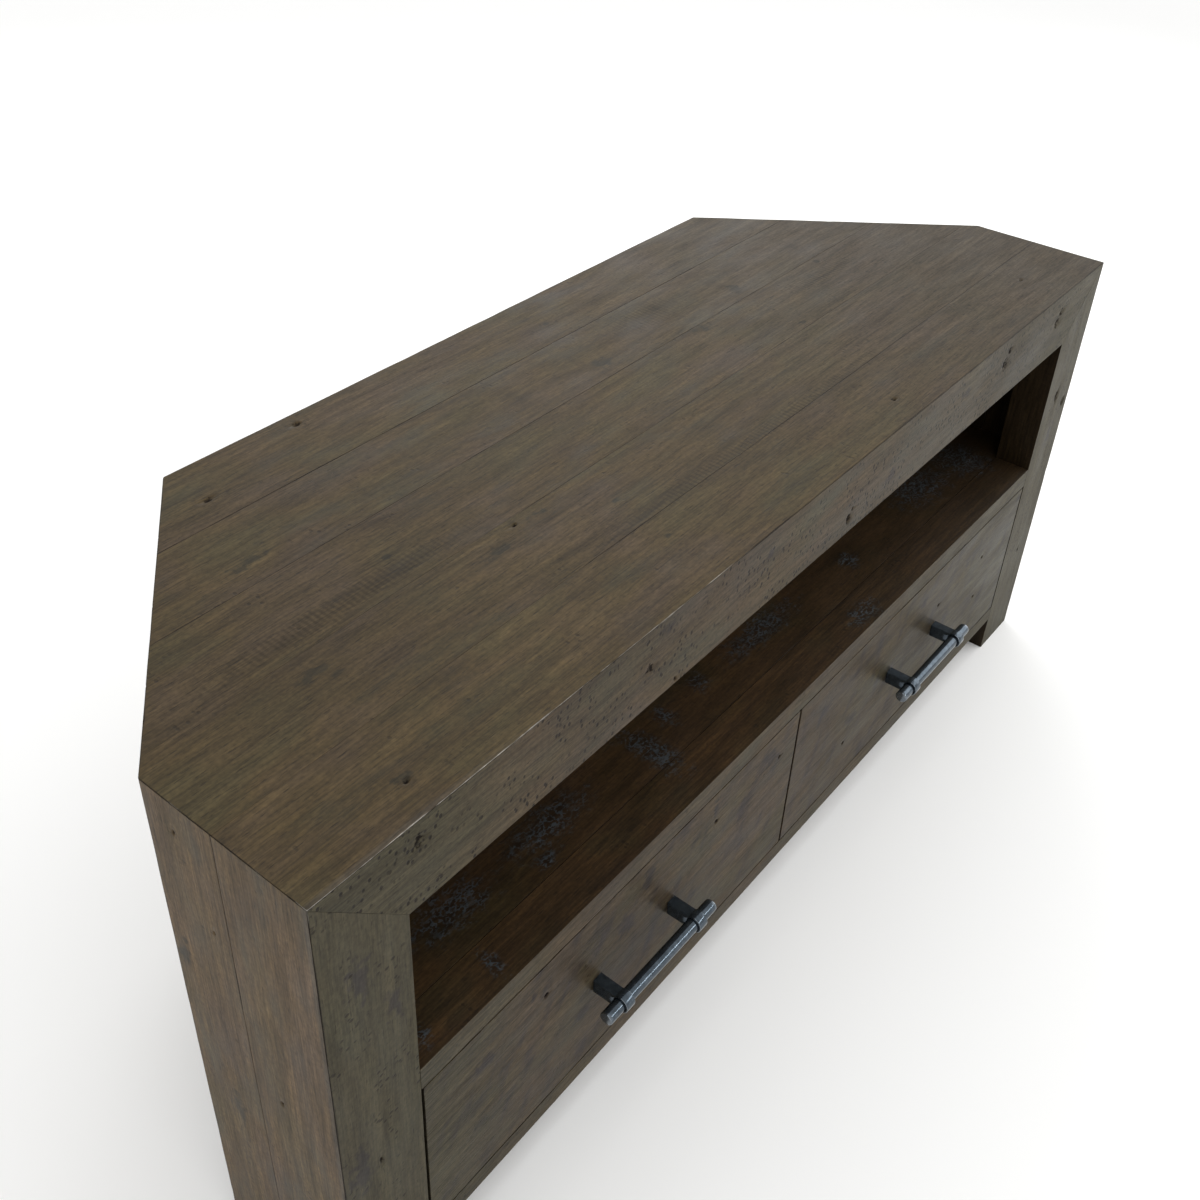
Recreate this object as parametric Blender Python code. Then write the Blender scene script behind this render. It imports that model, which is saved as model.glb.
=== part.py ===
"""Corner media cabinet: boxed timber case, open bay with a shelf, two flush drawers with bar handles.

Metres, +Z up, +X to the right seen from the front, front faces -Y. The floor is z = 0 and the
origin is below the middle of the whole object, handles included.
"""

import math

import bmesh
import bpy
from mathutils import Vector

# Driving sizes of the case
WIDTH = 1.130
DEPTH = 0.400
HEIGHT = 0.500
SIDE_DEPTH = 0.147
BACK_WIDTH = 0.720

# Timber
BOARD = 0.022
FRAME_WIDTH = 0.072
FRAME_DEPTH = 0.040
TOP_PLANKS = 5
SHELF_PLANKS = 4
SIDE_FRONT_BOARD = 0.081
BACK_THICKNESS = 0.009
DIVIDER = 0.018
CLEAT = 0.020
EDGE = 0.0015
MITRE_EDGE = 0.0005
GAP = 0.0003

# Levels above the floor
PLINTH_GAP = 0.045
FLOOR_TOP = 0.065
SHELF_UNDERSIDE = 0.2445
SHELF_TOP = 0.2675

# Drawers
SIDE_REVEAL = 0.0025
MIDDLE_REVEAL = 0.0030
LEVEL_REVEAL = 0.0015
FRONT_BOARD = 0.020
BOX_SIDE = 0.012
BOX_BOTTOM = 0.006
BOX_LOW = 0.0655
BOX_HIGH = 0.212
BOX_END = 0.196
BOX_CLEARANCE = 0.0015
GROOVE_LOW = 0.0735
GROOVE_DEPTH = 0.006
TRAVEL = 0.140

# Drawer running gear
GUIDE_WIDTH = 0.025
GUIDE_HEIGHT = 0.030
GUIDE_END = 0.165
KICKER_WIDTH = 0.040
KICKER_END = 0.190
KICKER_LOW = 0.2135
STOP_WIDTH = 0.034
STOP_OVERLAP = 0.0075

# Handles
BAR_RADIUS = 0.0061
BAR_LENGTH = 0.147
BAR_BEVEL = 0.0006
BAR_STANDOFF = 0.027
EYE_RADIUS = 0.0084
POST_WIDTH = 0.0104
POST_HEIGHT = 0.014
POST_SPACING = 0.1016
SCREW_RADIUS = 0.0020
SCREW_HEAD_RADIUS = 0.0040
SCREW_HEAD_HEIGHT = 0.0024
SCREW_IN_POST = 0.012
SCREW_HOLE_RADIUS = 0.0024

# Rear of the case
CABLE_HOLE_RADIUS = 0.030
CABLE_HOLE_HEIGHT = 0.360
FOOT = 0.070

# Results of the driving sizes
HALF_WIDTH = WIDTH / 2
HALF_OPENING = HALF_WIDTH - FRAME_WIDTH
INNER_DEPTH = DEPTH - BACK_THICKNESS
FRONT_Y = (BAR_STANDOFF + EYE_RADIUS - DEPTH) / 2
CHAMFER_RUN = (WIDTH - BACK_WIDTH) / 2
CHAMFER_RISE = DEPTH - SIDE_DEPTH
CHAMFER_LENGTH = math.hypot(CHAMFER_RUN, CHAMFER_RISE)
DRAWER_LOW = FLOOR_TOP + LEVEL_REVEAL
DRAWER_HIGH = SHELF_UNDERSIDE - LEVEL_REVEAL
DRAWER_INNER = MIDDLE_REVEAL / 2
DRAWER_OUTER = HALF_OPENING - SIDE_REVEAL
DRAWER_CENTRE = (DRAWER_INNER + DRAWER_OUTER) / 2
BOX_INNER = DIVIDER / 2 + BOX_CLEARANCE
BOX_OUTER = DRAWER_OUTER - BOX_CLEARANCE
BACK_BOARD_START = BOX_END - BOX_SIDE
HANDLE_HEIGHT = (DRAWER_LOW + DRAWER_HIGH) / 2

SIDES = (("left", -1), ("right", 1))


def clear_scene():
    for old in list(bpy.data.objects):
        bpy.data.objects.remove(old, do_unlink=True)


def make_material(name, colour, roughness, metallic=0.0):
    material = bpy.data.materials.new(name)
    material.use_nodes = True
    shader = material.node_tree.nodes["Principled BSDF"]
    shader.inputs["Base Color"].default_value = (*colour, 1.0)
    shader.inputs["Roughness"].default_value = roughness
    shader.inputs["Metallic"].default_value = metallic
    return material


clear_scene()
STAINED_PINE = make_material("stained_pine", (0.19, 0.155, 0.115), 0.55)
BAY_PINE = make_material("bay_pine", (0.11, 0.068, 0.038), 0.60)
RAW_PINE = make_material("raw_pine", (0.46, 0.33, 0.19), 0.70)
PLYWOOD = make_material("plywood", (0.22, 0.16, 0.10), 0.65)
BLACK_IRON = make_material("blackened_iron", (0.055, 0.060, 0.072), 0.42, 0.9)
ZINC_STEEL = make_material("zinc_steel", (0.55, 0.56, 0.58), 0.35, 1.0)


# Plan outlines. A plan point is (x, depth), where depth runs back from the front face.


def clip(outline, point, outward):
    """The part of a convex plan outline on the inner side of the line through point."""
    kept = []
    for (ax, ay), (bx, by) in zip(outline, outline[1:] + outline[:1]):
        a = (ax - point[0]) * outward[0] + (ay - point[1]) * outward[1]
        b = (bx - point[0]) * outward[0] + (by - point[1]) * outward[1]
        if a <= 0:
            kept.append((ax, ay))
        if (a < 0 < b) or (b < 0 < a):
            share = a / (a - b)
            kept.append((ax + share * (bx - ax), ay + share * (by - ay)))
    return kept


def rectangle(x_low, x_high, depth_low, depth_high):
    return [(x_low, depth_low), (x_high, depth_low), (x_high, depth_high), (x_low, depth_high)]


def chamfer_normal(side):
    """Unit plan vector out of the chamfered rear corner."""
    return (side * CHAMFER_RISE / CHAMFER_LENGTH, CHAMFER_RUN / CHAMFER_LENGTH)


def clip_chamfer(outline, side, inset):
    """Keeps what lies at least inset inside the chamfered face."""
    out_x, out_depth = chamfer_normal(side)
    point = (side * HALF_WIDTH - out_x * inset, SIDE_DEPTH - out_depth * inset)
    return clip(outline, point, (out_x, out_depth))


def case_plan(x_inset, chamfer_inset, depth_low, depth_high):
    """The hexagonal case plan, set in from its sides and chamfers, between two depths."""
    outline = rectangle(x_inset - HALF_WIDTH, HALF_WIDTH - x_inset, depth_low, depth_high)
    outline = clip_chamfer(outline, 1, chamfer_inset)
    return clip_chamfer(outline, -1, chamfer_inset)


def inner_plan(depth_low, depth_high, clearance=GAP):
    """The space between the case walls, between two depths."""
    return case_plan(BOARD + clearance, BOARD + clearance, depth_low, depth_high)


# Solids


def add_mesh_object(name, mesh_data, location, material, parent=None):
    mesh = bpy.data.meshes.new(name)
    mesh_data.to_mesh(mesh)
    mesh_data.free()
    obj = bpy.data.objects.new(name, mesh)
    bpy.context.scene.collection.objects.link(obj)
    obj.data.materials.append(material)
    obj.location = location
    if parent:
        obj.parent = parent
        obj.location = Vector(location) - parent.location
    return obj


def prism(profile, low, high, axis):
    """A bmesh prism. The profile is (x, y) swept along Z, (y, z) along X, or (x, z) along Y."""
    bm = bmesh.new()
    orders = {
        "X": lambda u, v, w: (w, u, v),
        "Y": lambda u, v, w: (u, w, v),
        "Z": lambda u, v, w: (u, v, w),
    }
    place = orders[axis]
    face = bm.faces.new([bm.verts.new(place(u, v, low)) for u, v in profile])
    sweep = Vector(place(0, 0, high - low))
    extruded = bmesh.ops.extrude_face_region(bm, geom=[face])["geom"]
    moved = [item for item in extruded if isinstance(item, bmesh.types.BMVert)]
    bmesh.ops.translate(bm, vec=sweep, verts=moved)
    bmesh.ops.recalc_face_normals(bm, faces=bm.faces)
    return bm


def cut(bm, point, outward):
    """Saws off what lies beyond the plane through point, and closes the sawn face."""
    everything = bm.verts[:] + bm.edges[:] + bm.faces[:]
    sawn = bmesh.ops.bisect_plane(
        bm, geom=everything, plane_co=point, plane_no=outward, clear_outer=True, dist=1e-6
    )["geom_cut"]
    edges = [item for item in sawn if isinstance(item, bmesh.types.BMEdge)]
    if edges:
        bmesh.ops.holes_fill(bm, edges=edges)
        bmesh.ops.recalc_face_normals(bm, faces=bm.faces)


def place_solid(name, bm, material, parent=None, edge=EDGE):
    """Moves the mesh to its own middle, so the object's origin is the middle of the piece."""
    low = Vector(min(v.co[i] for v in bm.verts) for i in range(3))
    high = Vector(max(v.co[i] for v in bm.verts) for i in range(3))
    middle = (low + high) / 2
    bmesh.ops.translate(bm, vec=-middle, verts=bm.verts)
    obj = add_mesh_object(name, bm, middle, material, parent)
    if edge:
        bevel = obj.modifiers.new("softened_edges", "BEVEL")
        bevel.width = edge
        bevel.segments = 1
        bevel.limit_method = "ANGLE"
        bevel.angle_limit = math.radians(25)
    return obj


def plan_solid(name, outline, z_low, z_high, material, parent=None, edge=EDGE):
    """A flat piece from its plan outline."""
    profile = [(x, FRONT_Y + depth) for x, depth in outline]
    return place_solid(name, prism(profile, z_low, z_high, "Z"), material, parent, edge)


def block(name, x_span, depth_span, z_span, material, parent=None, edge=EDGE):
    outline = rectangle(min(x_span), max(x_span), *depth_span)
    return plan_solid(name, outline, *z_span, material, parent, edge)


def cutter(name, radius, start, end, vertices=24):
    """A round cutter from start to end, kept out of the model."""
    bm = bmesh.new()
    axis = Vector(end) - Vector(start)
    bmesh.ops.create_cone(
        bm, cap_ends=True, segments=vertices, radius1=radius, radius2=radius, depth=axis.length
    )
    turn = Vector((0, 0, 1)).rotation_difference(axis)
    bmesh.ops.rotate(bm, cent=(0, 0, 0), matrix=turn.to_matrix(), verts=bm.verts)
    obj = add_mesh_object(name, bm, (Vector(start) + Vector(end)) / 2, PLYWOOD)
    obj.hide_render = True
    obj.display_type = "WIRE"
    return obj


def drill(obj, tool):
    hole = obj.modifiers.new(tool.name, "BOOLEAN")
    hole.operation = "DIFFERENCE"
    hole.solver = "EXACT"
    hole.object = tool


def shade_round(obj):
    obj.data.shade_smooth()
    obj.data.set_sharp_from_angle(angle=math.radians(40))


# The mitres of the boxed case. Each saw plane runs through an outer edge of the case, and each
# piece stays half a gap clear of it.


def outer_walls():
    """Each outer wall as its outward plan vector and one plan point on its face."""
    walls = {"front": ((0, -1), (0, 0))}
    for name, side in SIDES:
        walls[f"{name}_side"] = ((side, 0), (side * HALF_WIDTH, 0))
        walls[f"{name}_chamfer"] = (chamfer_normal(side), (side * HALF_WIDTH, SIDE_DEPTH))
    return walls


def cut_top_mitre(bm, wall, keep_top):
    """Saws the mitre between the top and one wall, and keeps the top or the wall."""
    (out_x, out_depth), (x, depth) = wall
    outward = Vector((out_x, out_depth, -1)).normalized() * (1 if keep_top else -1)
    point = Vector((x, FRONT_Y + depth, HEIGHT)) - outward * GAP / 2
    cut(bm, point, outward)


def cut_frame_mitre(bm, side, keep_rail):
    """Saws the 45 degree corner between the top rail and a stile."""
    outward = Vector((side, 0, -1)).normalized() * (1 if keep_rail else -1)
    point = Vector((side * HALF_WIDTH, 0, HEIGHT)) - outward * GAP / 2
    cut(bm, point, outward)


def front_frame():
    """Mitred top rail and stiles, bottom rail and the front rail of the shelf."""
    y = FRONT_Y
    rail_low = HEIGHT - FRAME_WIDTH
    section = [
        (y, rail_low),
        (y, HEIGHT - GAP),
        (y + BOARD, HEIGHT - BOARD - GAP),
        (y + FRAME_DEPTH, HEIGHT - BOARD - GAP),
        (y + FRAME_DEPTH, rail_low),
    ]
    rail = prism(section, -HALF_WIDTH, HALF_WIDTH, "X")
    for _, side in SIDES:
        cut_frame_mitre(rail, side, keep_rail=True)
    place_solid("front_top_rail", rail, STAINED_PINE, edge=MITRE_EDGE)
    for name, side in SIDES:
        plan = [
            (side * (HALF_WIDTH - GAP), 0),
            (side * (HALF_WIDTH - BOARD - GAP), BOARD),
            (side * (HALF_WIDTH - BOARD - GAP), FRAME_DEPTH),
            (side * HALF_OPENING, FRAME_DEPTH),
            (side * HALF_OPENING, 0),
        ]
        stile = prism([(x, y + depth) for x, depth in plan], 0, HEIGHT, "Z")
        cut_frame_mitre(stile, side, keep_rail=False)
        place_solid(f"{name}_stile", stile, STAINED_PINE, edge=MITRE_EDGE)
    rail_span = (GAP - HALF_OPENING, HALF_OPENING - GAP)
    rail_depth = (0, FRAME_DEPTH - GAP)
    block("bottom_rail", rail_span, rail_depth, (PLINTH_GAP, FLOOR_TOP), STAINED_PINE)
    block("shelf_front_rail", rail_span, rail_depth, (SHELF_UNDERSIDE, SHELF_TOP), STAINED_PINE)


def top_planks():
    """Planks parallel to the front, mitred to the front, sides and chamfers."""
    plank = DEPTH / TOP_PLANKS
    for number in range(TOP_PLANKS):
        low = number * plank + (GAP / 2 if number else 0)
        high = (number + 1) * plank - (GAP / 2 if number < TOP_PLANKS - 1 else 0)
        outline = [(x, FRONT_Y + depth) for x, depth in case_plan(0, 0, low, high)]
        bm = prism(outline, HEIGHT - BOARD, HEIGHT, "Z")
        for wall in outer_walls().values():
            cut_top_mitre(bm, wall, keep_top=True)
        place_solid(f"top_plank_{number + 1}", bm, STAINED_PINE, edge=MITRE_EDGE)


def side_walls():
    """Upright boards: two down to the floor on each side, and one glued panel on each chamfer."""
    walls = outer_walls()
    inner_corner = inner_plan(0, DEPTH, 0)
    corner_depth = max(depth for x, depth in inner_corner if x > HALF_WIDTH - BOARD - GAP)
    for name, side in SIDES:
        outer, inner = side * HALF_WIDTH, side * (HALF_WIDTH - BOARD)
        joint = SIDE_FRONT_BOARD
        front = [(outer, GAP), (outer, joint), (inner, joint), (inner, BOARD + GAP)]
        rear = [
            (outer, joint + GAP),
            (outer, SIDE_DEPTH - GAP / 2),
            (inner, corner_depth - GAP / 2),
            (inner, joint + GAP),
        ]
        for board, outline in (("front", front), ("rear", rear)):
            bm = prism([(x, FRONT_Y + depth) for x, depth in outline], 0, HEIGHT, "Z")
            cut_top_mitre(bm, walls[f"{name}_side"], keep_top=False)
            place_solid(f"{name}_side_board_{board}", bm, STAINED_PINE, edge=MITRE_EDGE)
        out_x, out_depth = chamfer_normal(side)
        in_at_back = BOARD / abs(out_x)
        panel = [
            (outer, SIDE_DEPTH + GAP / 2),
            (side * BACK_WIDTH / 2, DEPTH),
            (side * (BACK_WIDTH / 2 - in_at_back), DEPTH),
            (inner, corner_depth + GAP / 2),
        ]
        bm = prism([(x, FRONT_Y + depth) for x, depth in panel], PLINTH_GAP, HEIGHT, "Z")
        cut_top_mitre(bm, walls[f"{name}_chamfer"], keep_top=False)
        place_solid(f"{name}_chamfer_panel", bm, STAINED_PINE, edge=MITRE_EDGE)


def rear_of_case():
    """Thin back panel with a cable hole, and the two rear feet."""
    back = plan_solid(
        "back_panel", inner_plan(INNER_DEPTH, DEPTH), PLINTH_GAP, HEIGHT - BOARD - GAP, PLYWOOD, edge=0
    )
    hole_y = FRONT_Y + DEPTH
    tool = cutter(
        "cable_hole_cutter",
        CABLE_HOLE_RADIUS,
        (0, hole_y - 2 * BACK_THICKNESS, CABLE_HOLE_HEIGHT),
        (0, hole_y + BACK_THICKNESS, CABLE_HOLE_HEIGHT),
        vertices=48,
    )
    drill(back, tool)
    foot_outer = BACK_WIDTH / 2 - CLEAT * 2
    foot_rear = INNER_DEPTH - CLEAT / 2
    for name, side in SIDES:
        x_span = (side * (foot_outer - FOOT), side * foot_outer)
        depth_span = (foot_rear - FOOT, foot_rear)
        block(f"{name}_rear_foot", x_span, depth_span, (0, PLINTH_GAP - GAP), STAINED_PINE)


def decks():
    """The bottom panel, the shelf boards and the upright divider between the drawers."""
    start = FRAME_DEPTH + GAP
    end = INNER_DEPTH - GAP
    plan_solid("bottom_panel", inner_plan(start, end), PLINTH_GAP, FLOOR_TOP, PLYWOOD)
    board = (end - start) / SHELF_PLANKS
    for number in range(SHELF_PLANKS):
        low = start + number * board
        outline = inner_plan(low, low + board - GAP)
        plan_solid(f"shelf_plank_{number + 1}", outline, SHELF_UNDERSIDE, SHELF_TOP, BAY_PINE)
    block(
        "drawer_divider",
        (-DIVIDER / 2, DIVIDER / 2),
        (FRONT_BOARD + GAP, INNER_DEPTH - CLEAT - GAP),
        (FLOOR_TOP + GAP, SHELF_UNDERSIDE - GAP),
        RAW_PINE,
    )


def cleats():
    """Battens that carry the shelf and hold the top, screwed to the inside of the walls."""
    shelf_level = (SHELF_UNDERSIDE - GAP - CLEAT, SHELF_UNDERSIDE - GAP)
    top_level = (HEIGHT - BOARD - GAP - CLEAT, HEIGHT - BOARD - GAP)
    side_depths = (FRAME_DEPTH + GAP, SIDE_DEPTH - BOARD)
    wall = HALF_WIDTH - BOARD - GAP
    for name, side in SIDES:
        x_span = (side * (wall - CLEAT), side * wall)
        block(f"{name}_shelf_cleat", x_span, side_depths, shelf_level, RAW_PINE)
        block(f"{name}_top_cleat", x_span, side_depths, top_level, RAW_PINE)
        outline = inner_plan(SIDE_DEPTH + CLEAT / 2, INNER_DEPTH - CLEAT * 2)
        out_x, out_depth = chamfer_normal(side)
        inset = BOARD + CLEAT
        point = (side * HALF_WIDTH - out_x * inset, SIDE_DEPTH - out_depth * inset)
        outline = clip(outline, point, (-out_x, -out_depth))
        plan_solid(f"{name}_chamfer_cleat", outline, *shelf_level, RAW_PINE)
    rear_reach = BACK_WIDTH / 2 - CLEAT * 3
    rear_depths = (INNER_DEPTH - CLEAT, INNER_DEPTH - GAP)
    block("rear_shelf_cleat", (-rear_reach, rear_reach), rear_depths, shelf_level, RAW_PINE)


def running_gear(name, side):
    """What guides, steadies and stops one drawer, fixed to the case."""
    middle = side * DRAWER_CENTRE
    guide_start = side * (BOX_OUTER + BOX_CLEARANCE)
    guide_x = (guide_start, guide_start + side * GUIDE_WIDTH)
    on_floor = FLOOR_TOP + GAP
    block(
        f"{name}_drawer_guide",
        guide_x,
        (FRAME_DEPTH + GAP, GUIDE_END),
        (on_floor, on_floor + GUIDE_HEIGHT),
        RAW_PINE,
    )
    half_kicker = KICKER_WIDTH / 2
    block(
        f"{name}_drawer_kicker",
        (middle - half_kicker, middle + half_kicker),
        (FRONT_BOARD + EDGE, KICKER_END),
        (KICKER_LOW, SHELF_UNDERSIDE - GAP),
        RAW_PINE,
    )
    half_stop = STOP_WIDTH / 2
    stop_x = (middle - half_stop, middle + half_stop)
    out_stop_end = BACK_BOARD_START - TRAVEL - GAP
    out_stop_low = BOX_HIGH - STOP_OVERLAP
    block(
        f"{name}_drawer_out_stop",
        stop_x,
        (FRONT_BOARD + EDGE, out_stop_end),
        (out_stop_low, KICKER_LOW - GAP),
        RAW_PINE,
    )
    block(
        f"{name}_drawer_in_stop",
        stop_x,
        (FRONT_BOARD + GAP, FRAME_DEPTH - GAP),
        (on_floor, GROOVE_LOW - EDGE / 2),
        RAW_PINE,
    )


def drawer_box(name, side, parent):
    """Front, grooved sides, back and bottom of one drawer."""
    span = (side * DRAWER_INNER, side * DRAWER_OUTER)
    z_span = (DRAWER_LOW, DRAWER_HIGH)
    front = block(f"{name}_drawer_front", span, (0, FRONT_BOARD), z_span, STAINED_PINE, parent)
    groove_high = GROOVE_LOW + BOX_BOTTOM + 2 * GAP
    for place, outer_face, into in (("inner", BOX_INNER, 1), ("outer", BOX_OUTER, -1)):
        face = side * outer_face
        inside = side * (outer_face + into * BOX_SIDE)
        groove = side * (outer_face + into * (BOX_SIDE - GROOVE_DEPTH))
        profile = [
            (face, BOX_LOW),
            (inside, BOX_LOW),
            (inside, GROOVE_LOW),
            (groove, GROOVE_LOW),
            (groove, groove_high),
            (inside, groove_high),
            (inside, BOX_HIGH),
            (face, BOX_HIGH),
        ]
        bm = prism(profile, FRONT_Y + FRONT_BOARD + GAP, FRONT_Y + BOX_END, "Y")
        place_solid(f"{name}_drawer_side_{place}", bm, RAW_PINE, parent, edge=0)
    back_x = (side * (BOX_INNER + BOX_SIDE + GAP), side * (BOX_OUTER - BOX_SIDE - GAP))
    back_z = (groove_high, BOX_HIGH)
    block(f"{name}_drawer_back", back_x, (BACK_BOARD_START, BOX_END), back_z, RAW_PINE, parent, edge=0)
    in_groove = BOX_SIDE - GROOVE_DEPTH + GAP
    bottom_x = (side * (BOX_INNER + in_groove), side * (BOX_OUTER - in_groove))
    bottom_y = (FRONT_BOARD + GAP, BOX_END)
    bottom_z = (GROOVE_LOW + GAP, GROOVE_LOW + GAP + BOX_BOTTOM)
    block(f"{name}_drawer_bottom", bottom_x, bottom_y, bottom_z, PLYWOOD, parent, edge=0)
    return front


def post_profile():
    """Side outline of a handle post, as (y, z): a straight shank that ends in a round eye."""
    centre_y = FRONT_Y - BAR_STANDOFF
    half = POST_HEIGHT / 2
    meet = math.asin(half / EYE_RADIUS)
    steps = 20
    points = [(FRONT_Y - GAP, HANDLE_HEIGHT + half)]
    for step in range(steps + 1):
        angle = meet + (2 * math.pi - 2 * meet) * step / steps
        y = centre_y + EYE_RADIUS * math.cos(angle)
        points.append((y, HANDLE_HEIGHT + EYE_RADIUS * math.sin(angle)))
    points.append((FRONT_Y - GAP, HANDLE_HEIGHT - half))
    return points


def handle(name, side, parent, front):
    """Bar through the eyes of two posts, held by machine screws from inside the drawer."""
    middle = side * DRAWER_CENTRE
    bar_y = FRONT_Y - BAR_STANDOFF
    bar_mesh = bmesh.new()
    bmesh.ops.create_cone(
        bar_mesh, cap_ends=True, segments=28, radius1=BAR_RADIUS, radius2=BAR_RADIUS, depth=BAR_LENGTH
    )
    quarter_turn = Vector((0, 0, 1)).rotation_difference(Vector((1, 0, 0))).to_matrix()
    bmesh.ops.rotate(bar_mesh, cent=(0, 0, 0), matrix=quarter_turn, verts=bar_mesh.verts)
    bar_place = (middle, bar_y, HANDLE_HEIGHT)
    bar = add_mesh_object(f"{name}_handle_bar", bar_mesh, bar_place, BLACK_IRON, parent)
    bevel = bar.modifiers.new("rounded_ends", "BEVEL")
    bevel.width = BAR_BEVEL
    bevel.segments = 2
    bevel.limit_method = "ANGLE"
    bevel.angle_limit = math.radians(60)
    shade_round(bar)
    eye_cutter = cutter(
        f"{name}_eye_cutter",
        BAR_RADIUS + GAP,
        (middle - BAR_LENGTH, bar_y, HANDLE_HEIGHT),
        (middle + BAR_LENGTH, bar_y, HANDLE_HEIGHT),
        vertices=28,
    )
    for place, along in (("left", -1), ("right", 1)):
        x = middle + along * POST_SPACING / 2
        bm = prism(post_profile(), x - POST_WIDTH / 2, x + POST_WIDTH / 2, "X")
        post = place_solid(f"{name}_handle_post_{place}", bm, BLACK_IRON, parent, edge=0)
        screw_cutter = cutter(
            f"{name}_{place}_screw_cutter",
            SCREW_HOLE_RADIUS,
            (x, FRONT_Y - SCREW_IN_POST - SCREW_RADIUS, HANDLE_HEIGHT),
            (x, FRONT_Y + BOARD, HANDLE_HEIGHT),
            vertices=20,
        )
        drill(post, eye_cutter)
        drill(post, screw_cutter)
        drill(front, screw_cutter)
        shade_round(post)
        handle_screw(f"{name}_handle_screw_{place}", x, parent)


def handle_screw(name, x, parent):
    """Pan-head machine screw, turned about its own axis and lying along Y."""
    tip = -SCREW_IN_POST - FRONT_BOARD
    outline = [
        (0.0, SCREW_HEAD_HEIGHT),
        (SCREW_HEAD_RADIUS * 0.7, SCREW_HEAD_HEIGHT),
        (SCREW_HEAD_RADIUS, SCREW_HEAD_HEIGHT * 0.5),
        (SCREW_HEAD_RADIUS, GAP),
        (SCREW_RADIUS, GAP),
        (SCREW_RADIUS, tip + SCREW_RADIUS / 2),
        (SCREW_RADIUS / 2, tip),
        (0.0, tip),
    ]
    bm = bmesh.new()
    verts = [bm.verts.new((radius, along, 0.0)) for radius, along in outline]
    edges = [bm.edges.new(pair) for pair in zip(verts, verts[1:])]
    bmesh.ops.spin(
        bm, geom=verts + edges, cent=(0, 0, 0), axis=(0, 1, 0), angle=2 * math.pi, steps=16, use_merge=True
    )
    bmesh.ops.remove_doubles(bm, verts=bm.verts, dist=1e-6)
    bmesh.ops.recalc_face_normals(bm, faces=bm.faces)
    screw = add_mesh_object(name, bm, (x, FRONT_Y + FRONT_BOARD, HANDLE_HEIGHT), ZINC_STEEL, parent)
    shade_round(screw)


def drawer(name, side):
    slide = bpy.data.objects.new(f"{name}_drawer_slide", None)
    slide.location = (side * DRAWER_CENTRE, FRONT_Y, HANDLE_HEIGHT)
    bpy.context.scene.collection.objects.link(slide)
    front = drawer_box(name, side, slide)
    handle(name, side, slide, front)


front_frame()
top_planks()
side_walls()
rear_of_case()
decks()
cleats()
for drawer_name, drawer_side in SIDES:
    running_gear(drawer_name, drawer_side)
    drawer(drawer_name, drawer_side)
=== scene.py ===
import itertools
import math
import bpy
import numpy as np
from mathutils import Matrix, Vector


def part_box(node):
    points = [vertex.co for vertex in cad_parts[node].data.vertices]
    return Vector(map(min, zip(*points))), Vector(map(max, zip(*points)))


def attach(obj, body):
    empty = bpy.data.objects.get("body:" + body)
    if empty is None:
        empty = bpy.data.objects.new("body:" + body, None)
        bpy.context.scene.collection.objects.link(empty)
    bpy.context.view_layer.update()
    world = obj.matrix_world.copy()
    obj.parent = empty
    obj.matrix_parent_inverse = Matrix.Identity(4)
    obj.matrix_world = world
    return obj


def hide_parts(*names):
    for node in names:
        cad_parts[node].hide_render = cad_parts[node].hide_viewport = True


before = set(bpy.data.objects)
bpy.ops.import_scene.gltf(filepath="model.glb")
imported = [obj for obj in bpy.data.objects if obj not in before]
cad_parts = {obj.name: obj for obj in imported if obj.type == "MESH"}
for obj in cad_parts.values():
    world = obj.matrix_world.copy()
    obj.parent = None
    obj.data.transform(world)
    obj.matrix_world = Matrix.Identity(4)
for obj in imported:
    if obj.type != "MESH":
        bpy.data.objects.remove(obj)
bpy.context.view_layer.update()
mm = 0.001
print("frame loaded:", len(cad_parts), "nodes")


# The case, read from the frame

def planeOf(node, towards):
    # point and outward normal of the largest face of a node that looks that way
    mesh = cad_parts[node].data
    towards = Vector(towards).normalized()
    facing = [face for face in mesh.polygons if face.normal.dot(towards) > 0.95]
    largest = max(facing, key=lambda face: face.area)
    return np.array(largest.center), np.array(largest.normal)


front = planeOf("front_top_rail", (0, -1, 0))[0][1]
top = planeOf("top_plank_3", (0, 0, 1))[0][2]
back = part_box("back_panel")[1].y
halfWidth = planeOf("right_side_board_front", (1, 0, 0))[0][0]
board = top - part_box("top_plank_3")[0].z
chamferPoint, chamferNormal = planeOf("right_chamfer_panel", (0.78, 0.63, 0))
chamferOffset = chamferNormal @ chamferPoint
sideEnd = (chamferOffset - chamferNormal[0] * halfWidth) / chamferNormal[1]   # y where side meets chamfer
joint = 0.1 * mm          # what shows of a glue line between two boards
mitre = 0.45 * mm         # what shows of a mitre, a little open with age
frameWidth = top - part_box("front_top_rail")[0].z
opening = halfWidth - frameWidth

outerPlanes = [
    (np.array((0, 0, top)), np.array((0, 0, 1.0))),
    (np.array((0, front, 0)), np.array((0, -1.0, 0))),
    (np.array((0, back, 0)), np.array((0, 1.0, 0))),
]
for side in (-1, 1):
    mirror = np.array((side, 1, 1))
    outerPlanes.append((np.array((side * halfWidth, 0, 0)), np.array((float(side), 0, 0))))
    outerPlanes.append((chamferPoint * mirror, chamferNormal * mirror))


def reachAt(y, inset):
    # half of the case's width at a depth, set in by the same amount on sides and chamfers
    onChamfer = (chamferOffset - inset - chamferNormal[1] * y) / chamferNormal[0]
    return np.minimum(halfWidth - inset, onChamfer)


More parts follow.
